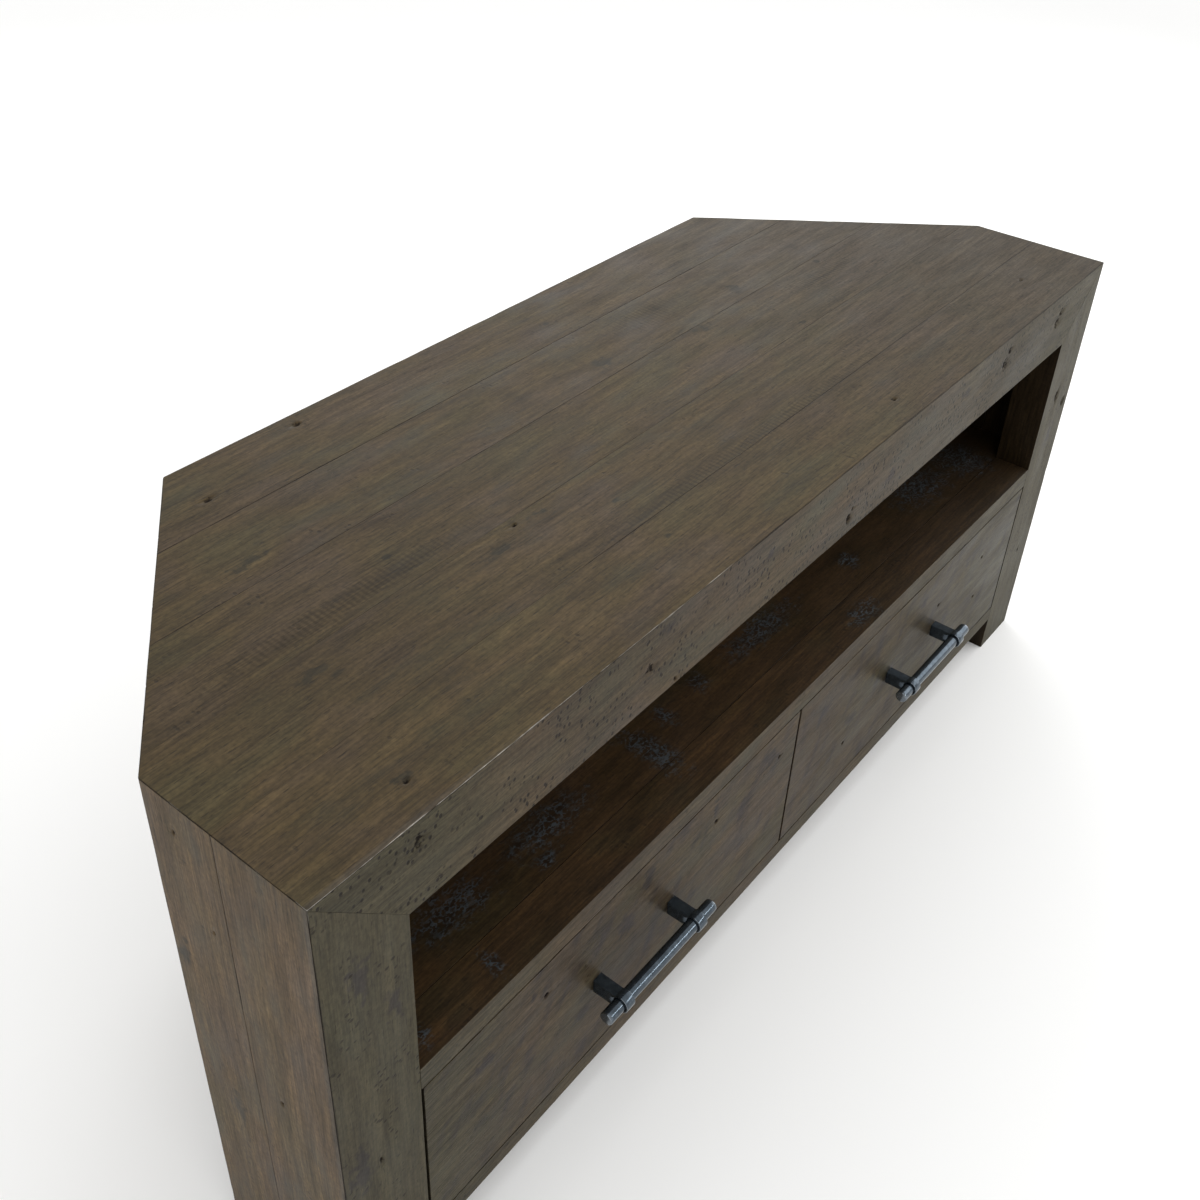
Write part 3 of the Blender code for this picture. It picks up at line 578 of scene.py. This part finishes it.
def makeBoard(name, low, high, settings, shape=None, place=None, edges=(), joints=(), bayFaces=()):
    # One board. Its own axes are those of low and high; shape trims the block to its true outline,
    # and place turns it into the case. edges are the faces whose meeting edges wear, joints those
    # glued to a neighbour, bayFaces those with the dark inner stain darkened further as painted shade.
    look = {**{kind: () for kind in markKinds}, **boardSettings, **settings, "seed": next(seeds)}
    low, high = np.array(low, float), np.array(high, float)
    along, across = look["grain"], look["across"]
    through = 3 - along - across
    dense = [[], [], []]
    for knot in look["knots"]:
        dense[along].append((knot[0], (knot[2] + 1) * mm))
        dense[across].append((knot[1], (knot[3] + 1) * mm))
    for axis, extra in look.get("lines", ()):
        dense[axis].append((extra, 1.4 * mm))
    lines = [gridLines(low[axis], high[axis], look["step"][axis], dense[axis]) for axis in range(3)]
    points, quads, onFace = boxSurface(lines)
    if shape:
        points = shape(points)
    centre = (low + high) / 2
    flat = (points - centre)[:, [along, across, through]] * 1000

    # waviness of hand-planed stock, with pits at the knots, always inward
    sink = (softNoise(flat, (140, 24, 24), look["seed"]) + 1) * 0.07 * mm
    sink += (softNoise(flat, (30, 7, 7), look["seed"] + 5) + 1) * 0.03 * mm
    for knotAlong, knotAcross, halfLength, halfSpan in look["knots"]:
        far = ((points[:, along] - knotAlong) / (halfLength * mm)) ** 2
        far += ((points[:, across] - knotAcross) / (halfSpan * mm)) ** 2
        pit = look["knotDepth"] * mm * np.exp(-2.2 * far ** 1.5)
        sink += np.where(onFace[look["face"]], pit, 0)
    for (axis, end), here in onFace.items():
        if (axis, end) not in joints:
            points[:, axis] += np.where(here, sink * (1 - 2 * end), 0)

    # glued joints open a little where they are dark
    uneven = 0.75 + 0.5 * softNoise(flat, (22, 30, 30), 3)
    darkness = np.clip(look["dark"](points[:, along]) * uneven, 0, 1)
    own = []
    for axis, end in edges:
        normal = np.zeros(3)
        normal[axis] = 2 * end - 1
        own.append(((high if end else low), normal))
    chipped = np.maximum(0, softNoise(flat, (9, 9, 9), look["seed"] + 2) - 0.72) * 5
    atJoint = np.zeros(len(points))
    for axis, end in joints:
        distance = np.abs(points[:, axis] - (high if end else low)[axis])
        atJoint = np.maximum(atJoint, np.clip(1 - distance / (1.1 * mm), 0, 1))
    lumps = 0.75 + 0.35 * softNoise(flat, (35, 35, 35), look["seed"] + 9)
    ownRadius = np.where(atJoint > 0, 0.12 + 0.6 * darkness, look["edgeWear"] * (lumps + chipped)) * mm
    rubbed = roundEdges(points, own, np.maximum(ownRadius, 0.1 * mm)) / mm
    if place:
        points = place(points)
    lumps = 0.8 + 0.35 * softNoise(points * 1000, (28, 28, 28), 40)
    arrisRadius = np.maximum(look["arris"] * (lumps + chipped) * mm, 0.2 * mm)
    atArris = np.clip(roundEdges(points, outerPlanes, arrisRadius) / arrisRadius * 9, 0, 1)
    bare = bareness(points)
    gapGrime = shadeInGap(points) * look["gapGrime"]
    attributes = {
        "grain": flat,
        "wear": atArris * bare + np.where(atJoint > 0, 0, np.clip(rubbed * 0.5, 0, 0.22)),
        # dark glue joints and arrises, and painted shade inside the gaps round the drawers
        "grime": np.maximum.reduce([atJoint * darkness, atArris * (1 - bare), gapGrime]),
        "fade": fading(points),
    }
    local = {**look}
    for kind in markKinds:
        local[kind] = [
            ((a - centre[along]) * 1000, (c - centre[across]) * 1000, halfLength, halfSpan)
            for a, c, halfLength, halfSpan in look[kind]
        ]
    materials = [stainedPine(f"{name}_pine", look["tones"], local)]
    if bayFaces:
        marked = bool(look["flecks"])
        materials.append(stainedPine(f"{name}_bay_pine", bayTones, local) if marked else insideStainAndShade)
    piece = meshPiece(
        name + "_worn", points, quads.tolist(), materials, look["body"], [name], attributes
    )
    inner = np.zeros(len(quads), np.int32)
    for facing in bayFaces:
        inner[onFace[facing][quads].all(axis=1)] = 1
    piece.data.polygons.foreach_set("material_index", inner)
    return piece


def fromFront(marks):
    # marks given by their depth behind the front, turned into the frame's own y
    return [(along, front + depth, halfLength, halfSpan) for along, depth, halfLength, halfSpan in marks]


insideSettings = {"seed": 31, "pith": (40, -120), "pits": 0.2, "gloss": 0.5}
# finish of the faces inside the case: a dark stain painted darker still as shade
insideStainAndShade = stainedPine("inside_stained_and_shaded_pine", insideShadedTones, insideSettings)


# Every mark is (place along the grain, place across it, half length in mm, half width in mm).
# On the top, the sides and the shelf one of the two places is the depth behind the front.
topSettings = {
    "knots": [(-.238, .384, 5, 3), (-.357, .349, 5.4, 3.2), (-.227, .152, 3, 1.8), (-.464, .027, 3.4, 2),
              (.141, .028, 3.8, 2.2), (.459, .049, 4, 2.4)],
    "stains": [(.216, .168, 5, 3), (.351, .232, 5, 3), (.045, .350, 5, 3), (.335, .368, 4, 3),
               (-.318, .195, 5, 3),
               (-.149, .115, 5, 3), (-.160, .057, 4, 3), (-.462, .030, 9, 5),
               (-.260, .139, 20, 7), (-.436, .139, 17, 6), (-.425, .128, 8, 4), (-.388, .264, 24, 6),
               (-.205, .150, 12, 5), (.137, .235, 16, 8), (.02, .262, 14, 9), (.235, .262, 10, 12)],
    "bands": [(-.271, .280, 6, 36), (-.083, .280, 13, 38), (.005, .280, 6, 38), (.144, .285, 6, 34),
              (.229, .280, 9, 36), (.368, .280, 8, 36), (.449, .280, 9, 36), (-.36, .178, 120, 14),
              (.30, .12, 150, 10), (-.50, .30, 50, 22), (-.40, .15, 130, 55), (-.28, .22, 90, 30)],
    "chatter": [(-.36, .178, 140, 13), (0, .085, 230, 9), (.12, .29, 60, 22), (.33, .21, 70, 12)],
    "darkJoints": [
        [(-.565, -.24, .25), (-.24, .565, .8)], [(-.22, -.04, .85), (.0, .565, .8)],
        [(-.5, .5, .3)], [(-.5, .26, .9), (.30, .5, .8)], [(-.5, .26, .9), (.30, .5, .8)],
    ],
    "pith": [(20, -60), (-45, -48), (10, -90), (60, -52), (-20, -75)],
    "wave": [46, 60, 40, 80, 50],
    "ring": [7.5, 8.5, 7.0, 9.0, 7.5],
    "late": 0.3,
    "streaks": 0.85,
}


def makeTop():
    count = sum(name.startswith("top_plank_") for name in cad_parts)
    for number in range(1, count + 1):
        name = f"top_plank_{number}"
        first, last = number == 1, number == count
        nearY, farY = front, back
        if not first:
            nearY = (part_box(name)[0].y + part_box(f"top_plank_{number - 1}")[1].y + joint) / 2
        if not last:
            farY = (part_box(name)[1].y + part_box(f"top_plank_{number + 1}")[0].y - joint) / 2

        def shape(points):
            drop = top - points[:, 2]
            if first:
                share = (points[:, 1] - nearY) / (farY - nearY)
                points[:, 1] = nearY + drop + share * (farY - nearY - drop)
            points[:, 0] *= (reachAt(points[:, 1], drop) - joint / 2) / halfWidth
            return points

        settings = {"tones": topTones, "late": topSettings["late"], "streaks": topSettings["streaks"]}
        for kind in ("knots", "stains", "bands", "chatter"):
            reach = 0 if kind == "knots" else mm      # a knot belongs to one plank, the rest may overlap
            settings[kind] = [
                mark for mark in fromFront(topSettings[kind])
                if nearY - mark[3] * reach <= mark[1] <= farY + mark[3] * reach
            ]
        for key in ("pith", "wave", "ring"):
            settings[key] = topSettings[key][number - 1]
        settings["dark"] = ramped(topSettings["darkJoints"][number - 1])
        settings["lines"] = [(1, sideEnd)] if nearY < sideEnd < farY else []
        joints = [face for face, glued in (((1, 0), not first), ((1, 1), not last)) if glued]
        makeBoard(name, (-halfWidth, nearY, top - board), (halfWidth, farY, top), settings, shape,
                  edges=[(2, 1), *joints], joints=joints, bayFaces=[(2, 0)])


railSettings = {
    "grain": 0, "across": 2, "face": (1, 0), "pith": (35, -80), "step": (7 * mm, 9 * mm, 5 * mm),
    "knots": [(-.482, .483, 4.4, 6.4), (-.256, .464, 4.4, 5.4), (.027, .443, 4.6, 6), (.326, .471, 6.5, 8),
              (.456, .467, 6, 7), (.462, .478, 4, 5), (-.222, .432, 2.4, 3), (.332, .484, 4, 4),
              (.032, .451, 2, 2)],
    "bands": [(.36, .46, 150, 60)],
    "stains": [(-.235, .490, 8, 5), (.24, .475, 9, 8), (-.10, .478, 6, 5), (.10, .452, 10, 6)],
    "clusters": (0.41, 0.53), "pits": 0.95, "late": 0.2, "streaks": 0.75, "gloss": 0.54, "shine": 0.125,
}


def makeRail():
    low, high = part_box("front_top_rail")

    def shape(points):
        share = (points[:, 2] - low.z) / (top - low.z)
        roof = top - np.minimum(points[:, 1] - front, board) - mitre
        points[:, 2] = low.z + share * (roof - low.z)
        points[:, 0] *= (halfWidth - (top - points[:, 2])) / halfWidth
        return points

    makeBoard("front_top_rail", (-halfWidth, front, low.z), (halfWidth, high.y, top), railSettings, shape,
              edges=[(1, 0), (2, 0), (1, 1)], bayFaces=[(2, 0), (1, 1)])


stileSettings = {
    "both": {"grain": 2, "across": 0, "face": (1, 0), "pith": (-30, -70), "step": (5 * mm, 9 * mm, 7 * mm),
             "clusters": (0.5, 0.6), "pits": 0.75, "late": 0.2, "streaks": 0.6, "shine": 0.13,
             "gloss": 0.55},
    "left": {"knots": [(.21, -.532, 3, 1.8)],
             "stains": [(.41, -.535, 20, 10), (.36, -.51, 16, 8), (.22, -.55, 30, 9)]},
    "right": {"knots": [(.352, .524, 8, 5), (.333, .552, 8, 5), (.13, .535, 3.4, 2)],
              "stains": [(.30, .53, 22, 8)]},
}


def makeStiles():
    for name, side in (("left", -1), ("right", 1)):
        node = f"{name}_stile"
        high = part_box(node)[1]
        bayFace = (0, (1 - side) // 2)

        def shape(points):
            # the block is drawn from the opening outwards, with x counted away from the middle
            share = (points[:, 0] * side - opening) / frameWidth
            reach = frameWidth - np.minimum(points[:, 1] - front, board) - joint
            outward = opening + share * reach
            points[:, 2] *= (top - (halfWidth - outward) - joint) / top
            points[:, 0] = outward * side
            return points

        inner, outer = side * opening, side * halfWidth
        makeBoard(node, (min(inner, outer), front, 0), (max(inner, outer), high.y, top),
                  {**stileSettings["both"], **stileSettings[name]}, shape,
                  edges=[bayFace, (1, 0)], bayFaces=[bayFace, (1, 1)])


sideSettings = {
    "both": {"tones": sideLitTones, "grain": 2, "across": 1, "step": (9 * mm, 5 * mm, 7 * mm), "wave": 30,
             "dark": ramped([(-.1, .33, .6), (.33, .6, .85)])},
    "pith": (20, 80),
    "front": {"knots": [(.26, .055, 3, 1.8)], "stains": [(.10, .03, 30, 10)]},
    "rear": {"knots": [(.473, .120, 2.8, 1.6), (.400, .097, 2, 1.2)],
             "stains": [(.345, .138, 12, 8), (.362, .133, 5, 4), (.2, .11, 20, 9)]},
}


def makeSides():
    # two upright boards on each side, mitred into the front frame, the top and the chamfered corner
    lean = math.tan(math.acos(chamferNormal[0]) / 2)      # slope of the mitre at the rear corner
    for (name, side), part in itertools.product((("left", -1), ("right", 1)), ("front", "rear")):
        node = f"{name}_side_board_{part}"
        low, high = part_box(node)
        inFront = part == "front"
        nearY, farY = (front, high.y) if inFront else (low.y, sideEnd)
        outer, inner = side * halfWidth, side * (halfWidth - board)
        outerFace, bayFace = (0, (1 + side) // 2), (0, (1 - side) // 2)
        glued = (1, 1) if inFront else (1, 0)

        def shape(points):
            drop = halfWidth - points[:, 0] * side
            share = (points[:, 1] - nearY) / (farY - nearY)
            start = nearY + (drop + mitre if inFront else 0)
            finish = farY - (0 if inFront else drop * lean)
            points[:, 1] = start + share * (finish - start)
            points[:, 2] *= (top - drop - mitre) / top
            return points

        pith = (sideSettings["pith"][0], sideSettings["pith"][1] * side)
        settings = {**sideSettings["both"], "face": outerFace, "pith": pith}
        for kind, marks in sideSettings[part].items():
            settings[kind] = fromFront(marks)
        makeBoard(node, (min(outer, inner), nearY, 0), (max(outer, inner), farY, top), settings, shape,
                  edges=[outerFace, glued], joints=[glued], bayFaces=[bayFace])


chamferSettings = {
    "seams": 3,          # glue lines that divide the panel into four boards
    "board": {"tones": sideLitTones, "grain": 2, "across": 0, "face": (1, 0), "pith": (60, -70),
              "step": (6 * mm, 9 * mm, 9 * mm), "wave": 60, "late": 0.22, "streaks": 0.75,
              "knots": [(.41, .07, 4, 2.6), (.22, .19, 4.5, 2.8), (.33, .27, 3, 2), (.13, .11, 3.4, 2.4)],
              "stains": [(.30, .10, 16, 6), (.15, .25, 14, 6)]},
}


def makeChamfers():
    # one glued panel on each rear corner, drawn flat: x along the corner, y into the board, z up
    start = np.array((halfWidth, sideEnd, 0))
    away = np.array((-chamferNormal[1], chamferNormal[0], 0))
    lean = math.tan(math.acos(chamferNormal[0]) / 2)
    length = (back - sideEnd) / away[1]
    boards = chamferSettings["seams"] + 1
    seams = [length * number / boards for number in range(1, boards)]
    for name, side in (("left", -1), ("right", 1)):
        node = f"{name}_chamfer_panel"
        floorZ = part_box(node)[0].z

        def shape(points):
            along, drop, z = points[:, 0], points[:, 1], points[:, 2]
            begin = drop * lean
            end = length + drop * chamferNormal[1] / chamferNormal[0]
            groove = np.zeros(len(points))
            for seam in seams:
                groove = np.maximum(groove, np.clip(1 - np.abs(along - seam) / (0.8 * mm), 0, 1))
            share = along / length
            height = floorZ + (z - floorZ) / (top - floorZ) * (top - drop - mitre - floorZ)
            deep = drop + np.where(drop < 1e-6, groove * 0.5 * mm, 0)
            return np.stack([begin + share * (end - begin), deep, height], axis=1)

        def place(points):
            flat = start + points[:, :1] * away - points[:, 1:2] * chamferNormal
            flat[:, 2] = points[:, 2]
            return flat * np.array((side, 1, 1))

        settings = {**chamferSettings["board"], "lines": [(0, seam) for seam in seams]}
        piece = makeBoard(node, (0, 0, floorZ), (length, board, top), settings, shape, place,
                          bayFaces=[(1, 1)])
        if side < 0:
            piece.data.flip_normals()


shelfSettings = {
    "flecks": [(-.475, .02, 7, 10), (-.40, .02, 6, 12), (-.385, .075, 34, 16), (-.275, .075, 40, 14),
               (-.30, .052, 12, 6), (-.152, .06, 13, 30), (-.11, .078, 9, 12), (-.055, .08, 9, 10),
               (.045, .078, 50, 12), (.135, .015, 20, 9), (.20, .07, 12, 10), (.375, .08, 42, 22),
               (.46, .07, 30, 30), (-.25, .13, 60, 22), (.15, .13, 70, 16)],
    "rail": {"step": (7 * mm, 6 * mm, 4 * mm), "edgeWear": 0.6, "ring": 6, "pith": (25, -60)},
    "plank": {"tones": bayTones, "slot": "bay_timber", "step": (9 * mm, 6 * mm, 9 * mm),
              "clusters": (0.52, 0.62), "pits": 0.1, "edgeWear": 0.5, "late": 0.26, "streaks": 0.7},
    "pithStep": 25,      # mm, how far the pith moves over from plank to plank
}


def makeShelf():
    flecks = fromFront(shelfSettings["flecks"])
    rail = shelfSettings["rail"]
    railEdges = [(1, 0), (2, 1), (2, 0)]
    low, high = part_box("shelf_front_rail")
    makeBoard("shelf_front_rail", low, high, {**rail, "flecks": flecks}, edges=railEdges,
              bayFaces=[(2, 1), (2, 0), (1, 1)])
    low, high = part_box("bottom_rail")
    makeBoard("bottom_rail", low, high, {**rail, "edgeWear": 0.9}, edges=railEdges)
    count = sum(name.startswith("shelf_plank_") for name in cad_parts)
    for number in range(1, count + 1):
        name = f"shelf_plank_{number}"
        low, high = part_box(name)
        widest = high.x
        inset = board + 0.3 * mm

        def shape(points):
            points[:, 0] *= np.minimum(widest, reachAt(points[:, 1], inset)) / widest
            return points

        pith = (-30 + shelfSettings["pithStep"] * number, -70)
        makeBoard(name, low, high, {**shelfSettings["plank"], "flecks": flecks, "pith": pith}, shape,
                  edges=[(2, 1), (1, 0), (1, 1)], joints=[(1, 0), (1, 1)])


drawerSettings = {
    "both": {"grain": 0, "across": 2, "face": (1, 0), "step": (7 * mm, 7 * mm, 5 * mm), "wave": 70,
             "ring": 8.5, "gapGrime": 0.7, "smear": 0.68, "gloss": 0.41, "shine": 0.065, "edgeWear": 0.9},
    "left": {"pith": (-45, -85),
             "knots": [(-.361, .206, 3, 3), (-.133, .206, 3, 2.6), (-.030, .206, 2.6, 2)],
             "bands": [(-.25, .14, 70, 50)],
             "stains": [(-.232, .222, 8, 14), (-.136, .222, 4, 13), (-.046, .216, 16, 13),
                        (-.376, .222, 5, 8),
                        (-.43, .20, 14, 9), (-.31, .13, 16, 10), (-.26, .19, 13, 16)]},
    "right": {"pith": (45, -85),
              "knots": [(.300, .185, 3, 2), (.406, .191, 2.6, 1.8), (.409, .132, 3, 1.8),
                        (.111, .118, 2.6, 2.2)],
              "bands": [(.27, .15, 60, 50), (.07, .15, 40, 50)],
              "stains": [(.255, .215, 6, 11), (.362, .206, 6, 14), (.12, .145, 14, 10), (.05, .205, 12, 8),
                         (.33, .15, 14, 6)]},
}


def makeDrawerFronts():
    for name in ("left", "right"):
        node = f"{name}_drawer_front"
        low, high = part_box(node)
        settings = {**drawerSettings["both"], **drawerSettings[name], "body": f"{name}_drawer"}
        makeBoard(node, low, high, settings, edges=allFaces)


footSettings = {"edgeWear": 1.6, "face": (0, 1), "step": (5 * mm, 5 * mm, 5 * mm)}


def makeFeet():
    for name in ("left", "right"):
        node = f"{name}_rear_foot"
        low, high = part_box(node)
        makeBoard(node, low, high, footSettings, edges=allFaces)


makeTop()
print("top made")
makeRail()
makeStiles()
makeSides()
makeChamfers()
print("frame and walls made")
makeShelf()
makeDrawerFronts()
makeFeet()
print("shelf, drawers and feet made")


handleSettings = {
    "rounds": 40,            # steps round the bar
    "dents": 0.03,           # mm, depth of the unevenness
    "endBevel": 0.9,         # mm
    "barStep": 2.2,          # mm between the bar's rings
    "postCorner": 0.4,       # mm, how far the post's edges are eased
    "shankHeight": 14.0,     # mm
    "holeGap": 0.15,         # mm between the bar and its eye
}


def ringSurface(loops, closed):
    # quads between successive loops of points; closed joins the last loop to the first
    rows, columns = loops.shape[:2]
    faces = []
    for row in range(rows if closed else rows - 1):
        after = (row + 1) % rows
        for column in range(columns):
            beside = (column + 1) % columns
            corners = ((row, column), (row, beside), (after, beside), (after, column))
            faces.append(tuple(r * columns + c for r, c in corners))
    if not closed:
        faces.append(tuple(range(columns))[::-1])
        faces.append(tuple((rows - 1) * columns + column for column in range(columns)))
    return loops.reshape(-1, 3), faces


def makeHandle(name, iron):
    barLow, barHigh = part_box(f"{name}_handle_bar")
    centre = (barLow + barHigh) / 2
    radius = (barHigh.z - barLow.z) / 2
    bevel = handleSettings["endBevel"] * mm
    angles = np.linspace(0, 2 * math.pi, handleSettings["rounds"], endpoint=False)
    stations, widths = [barLow.x, barLow.x + bevel * 0.3], [radius - bevel, radius - bevel * 0.3]
    inner = np.arange(barLow.x + bevel, barHigh.x - bevel, handleSettings["barStep"] * mm)
    stations += [*inner, barHigh.x - bevel * 0.3, barHigh.x]
    widths += [radius] * len(inner) + [radius - bevel * 0.3, radius - bevel]
    loops = np.array([
        [(x, centre.y + width * math.cos(a), centre.z + width * math.sin(a)) for a in angles]
        for x, width in zip(stations, widths)
    ])
    points, faces = ringSurface(loops, closed=False)
    axis = np.array((0, centre.y, centre.z))
    spoke = (points - axis) * (0, 1, 1)
    dents = (softNoise(points * 1000, (6, 4, 4), 61) + 1) / 2 * handleSettings["dents"] * mm
    points = points - spoke / np.linalg.norm(spoke, axis=1)[:, None] * dents[:, None]
    fromEnd = np.minimum(points[:, 0] - barLow.x, barHigh.x - points[:, 0]) / mm
    wear = np.clip(1 - fromEnd / 1.5, 0, 1)
    body, slot = f"{name}_drawer", "blackened_iron"
    meshPiece(f"{name}_handle_bar_forged", points, faces, [iron], body, [f"{name}_handle_bar"],
              {"wear": wear}, sharp=60)

    # Each post is a flat eye on a shank. Seen from its end it is a star shape round the bar's
    # centre, so one radius per angle gives it.
    for place in ("left", "right"):
        node = f"{name}_handle_post_{place}"
        low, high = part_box(node)
        eye = centre.y - low.y
        half = handleSettings["shankHeight"] / 2 * mm
        reach = high.y - centre.y
        wide = (high.x - low.x) / 2
        middle = (high.x + low.x) / 2
        corner = math.atan2(half, reach)
        shoulder = math.asin(half / eye)
        turns = sorted([*np.linspace(-math.pi, math.pi, 64, endpoint=False), corner, -corner,
                        shoulder, -shoulder])
        ease = handleSettings["postCorner"] * mm
        hole = radius + handleSettings["holeGap"] * mm
        rows = []
        for turn in turns:
            outer = eye
            if abs(turn) <= shoulder:
                outer = min(reach / math.cos(turn), half / max(1e-6, abs(math.sin(turn))))
            oneSide = [(hole, wide - 0.2 * mm), (hole + 0.3 * mm, wide)]
            oneSide += [(hole + (outer - ease - hole) * share, wide) for share in (0.35, 0.7)]
            for t in np.linspace(0, math.pi / 2, 5):
                oneSide.append((outer - ease * (1 - math.sin(t)), wide - ease * (1 - math.cos(t))))
            section = [(r, -x) for r, x in oneSide] + [(outer, 0)] + oneSide[::-1] + [(hole, 0)]
            rows.append([
                (middle + x, centre.y + r * math.cos(turn), centre.z + r * math.sin(turn)) for r, x in section
            ])
        points, faces = ringSurface(np.array(rows), closed=True)
        spoke = points - np.array((middle, centre.y, centre.z))
        dents = (softNoise(points * 1000, (5, 4, 4), 77) + 1) / 2 * handleSettings["dents"] * mm
        points[:, 0] -= np.sign(spoke[:, 0]) * dents * (np.abs(spoke[:, 0]) > wide - 1.0 * mm)
        rim = np.abs(spoke[:, 0]) > wide - ease
        far = np.hypot(spoke[:, 1], spoke[:, 2]) > eye - 2 * ease
        ahead = spoke[:, 1] < 0
        meshPiece(f"{node}_forged", points, faces, [iron], body, [node],
                  {"wear": np.where(rim & far & ahead, 0.9, 0.0)}, sharp=35)


iron = blackenedIron("forged_blackened_iron")
for name in ("left", "right"):
    makeHandle(name, iron)
print("handles made")


# Pieces that stay as the frame has them

sawn = {axis: plainTimber(f"sawn_pine_{'xyz'[axis]}", "#B0926A", "#7E6143", axis) for axis in range(3)}
veneer = {"case": plainTimber("stained_plywood", "#4A3C2E", "#33281E", 0, 12.0, 0.55),
          "drawer": plainTimber("birch_plywood", "#A98C66", "#856A4A", 0, 14.0, 0.5)}
zinc = zincSteel("zinc_plated_steel")
for name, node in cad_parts.items():
    if node.hide_render:
        continue
    low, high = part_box(name)
    size = high - low
    longest = max(range(3), key=lambda axis: size[axis])
    if "screw" in name:
        finish = zinc
    elif name in ("back_panel", "bottom_panel"):
        finish = veneer["case"]
    elif name.endswith("_drawer_bottom"):
        finish = veneer["drawer"]
    else:
        finish = sawn[longest]
    node.data.materials.clear()
    node.data.materials.append(finish)
print("inner pieces finished")


# Floor, light and camera

stageSettings = {
    "floor": "#FBFBFA",
    "world": 1.0,
    "lights": [
        # place, aimed at, width and height in metres, power in watts
        ((2.4, -1.0, 1.3), (0.2, -0.1, 0.3), (1.8, 1.8), 20),
        ((1.9, 1.8, 1.4), (0.2, 0.0, 0.45), (1.8, 1.8), 16),
        ((-1.6, -0.6, 3.0), (0.0, 0.0, 0.3), (2.4, 2.4), 9),
        ((1.3, -2.4, 1.5), (0.0, -0.2, 0.15), (1.1, 0.14), 11),
    ],
}


def makeStage():
    half = 9.0
    corners = [(-half, -half, 0), (half, -half, 0), (half, half, 0), (-half, half, 0)]
    mesh = bpy.data.meshes.new("floor")
    mesh.from_pydata(corners, [], [(0, 1, 2, 3)])
    floor = bpy.data.objects.new("floor", mesh)
    bpy.context.scene.collection.objects.link(floor)
    material, tree, shader = newMaterial("painted_floor", Roughness=0.9)
    place = addNode(tree, "TexCoord")["Object"]
    grainy = addNode(tree, "TexNoise", {"Vector": place, "Scale": 3.0, "Detail": 2.0})[0]
    pale = linear(stageSettings["floor"])
    dusty = [v * 0.985 for v in pale[:3]] + [1]
    colour = addNode(tree, "Mix", {0: grainy, 6: pale, 7: dusty}, data_type="RGBA")[2]
    tree.links.new(colour, shader.inputs["Base Color"])
    mesh.materials.append(material)
    world = bpy.data.worlds.new("studio")
    world.use_nodes = True
    world.node_tree.nodes["Background"].inputs["Color"].default_value = (1, 1, 1, 1)
    world.node_tree.nodes["Background"].inputs["Strength"].default_value = stageSettings["world"]
    bpy.context.scene.world = world
    for number, (spot, aim, size, power) in enumerate(stageSettings["lights"]):
        lamp = bpy.data.lights.new(f"softbox_{number}", "AREA")
        lamp.shape = "RECTANGLE"
        lamp.size, lamp.size_y = size
        lamp.energy = power
        light = bpy.data.objects.new(f"softbox_{number}", lamp)
        light.location = spot
        light.rotation_euler = (Vector(aim) - Vector(spot)).to_track_quat("-Z", "Y").to_euler()
        bpy.context.scene.collection.objects.link(light)
    bpy.context.scene.view_settings.view_transform = "Standard"


cameraSettings = {
    "place": (-0.83703, -0.56688, 1.0763),
    "azimuth": 52.28,       # degrees from straight at the front
    "down": 35.14,
    "roll": 2.226,
    "lens": 39.671,
    "shift": (0.01477, -0.06531),
}


def makeCamera():
    azimuth, down, roll = (math.radians(cameraSettings[key]) for key in ("azimuth", "down", "roll"))
    ahead = Vector((math.sin(azimuth) * math.cos(down), math.cos(azimuth) * math.cos(down), -math.sin(down)))
    turned = ahead.to_track_quat("-Z", "Y").to_matrix() @ Matrix.Rotation(roll, 3, "Z")
    lens = bpy.data.cameras.new("camera")
    lens.lens = cameraSettings["lens"]
    lens.shift_x, lens.shift_y = cameraSettings["shift"]
    camera = bpy.data.objects.new("camera", lens)
    camera.location = cameraSettings["place"]
    camera.rotation_euler = turned.to_euler()
    bpy.context.scene.collection.objects.link(camera)
    bpy.context.scene.camera = camera


makeStage()
makeCamera()
print("floor, lights and camera made")
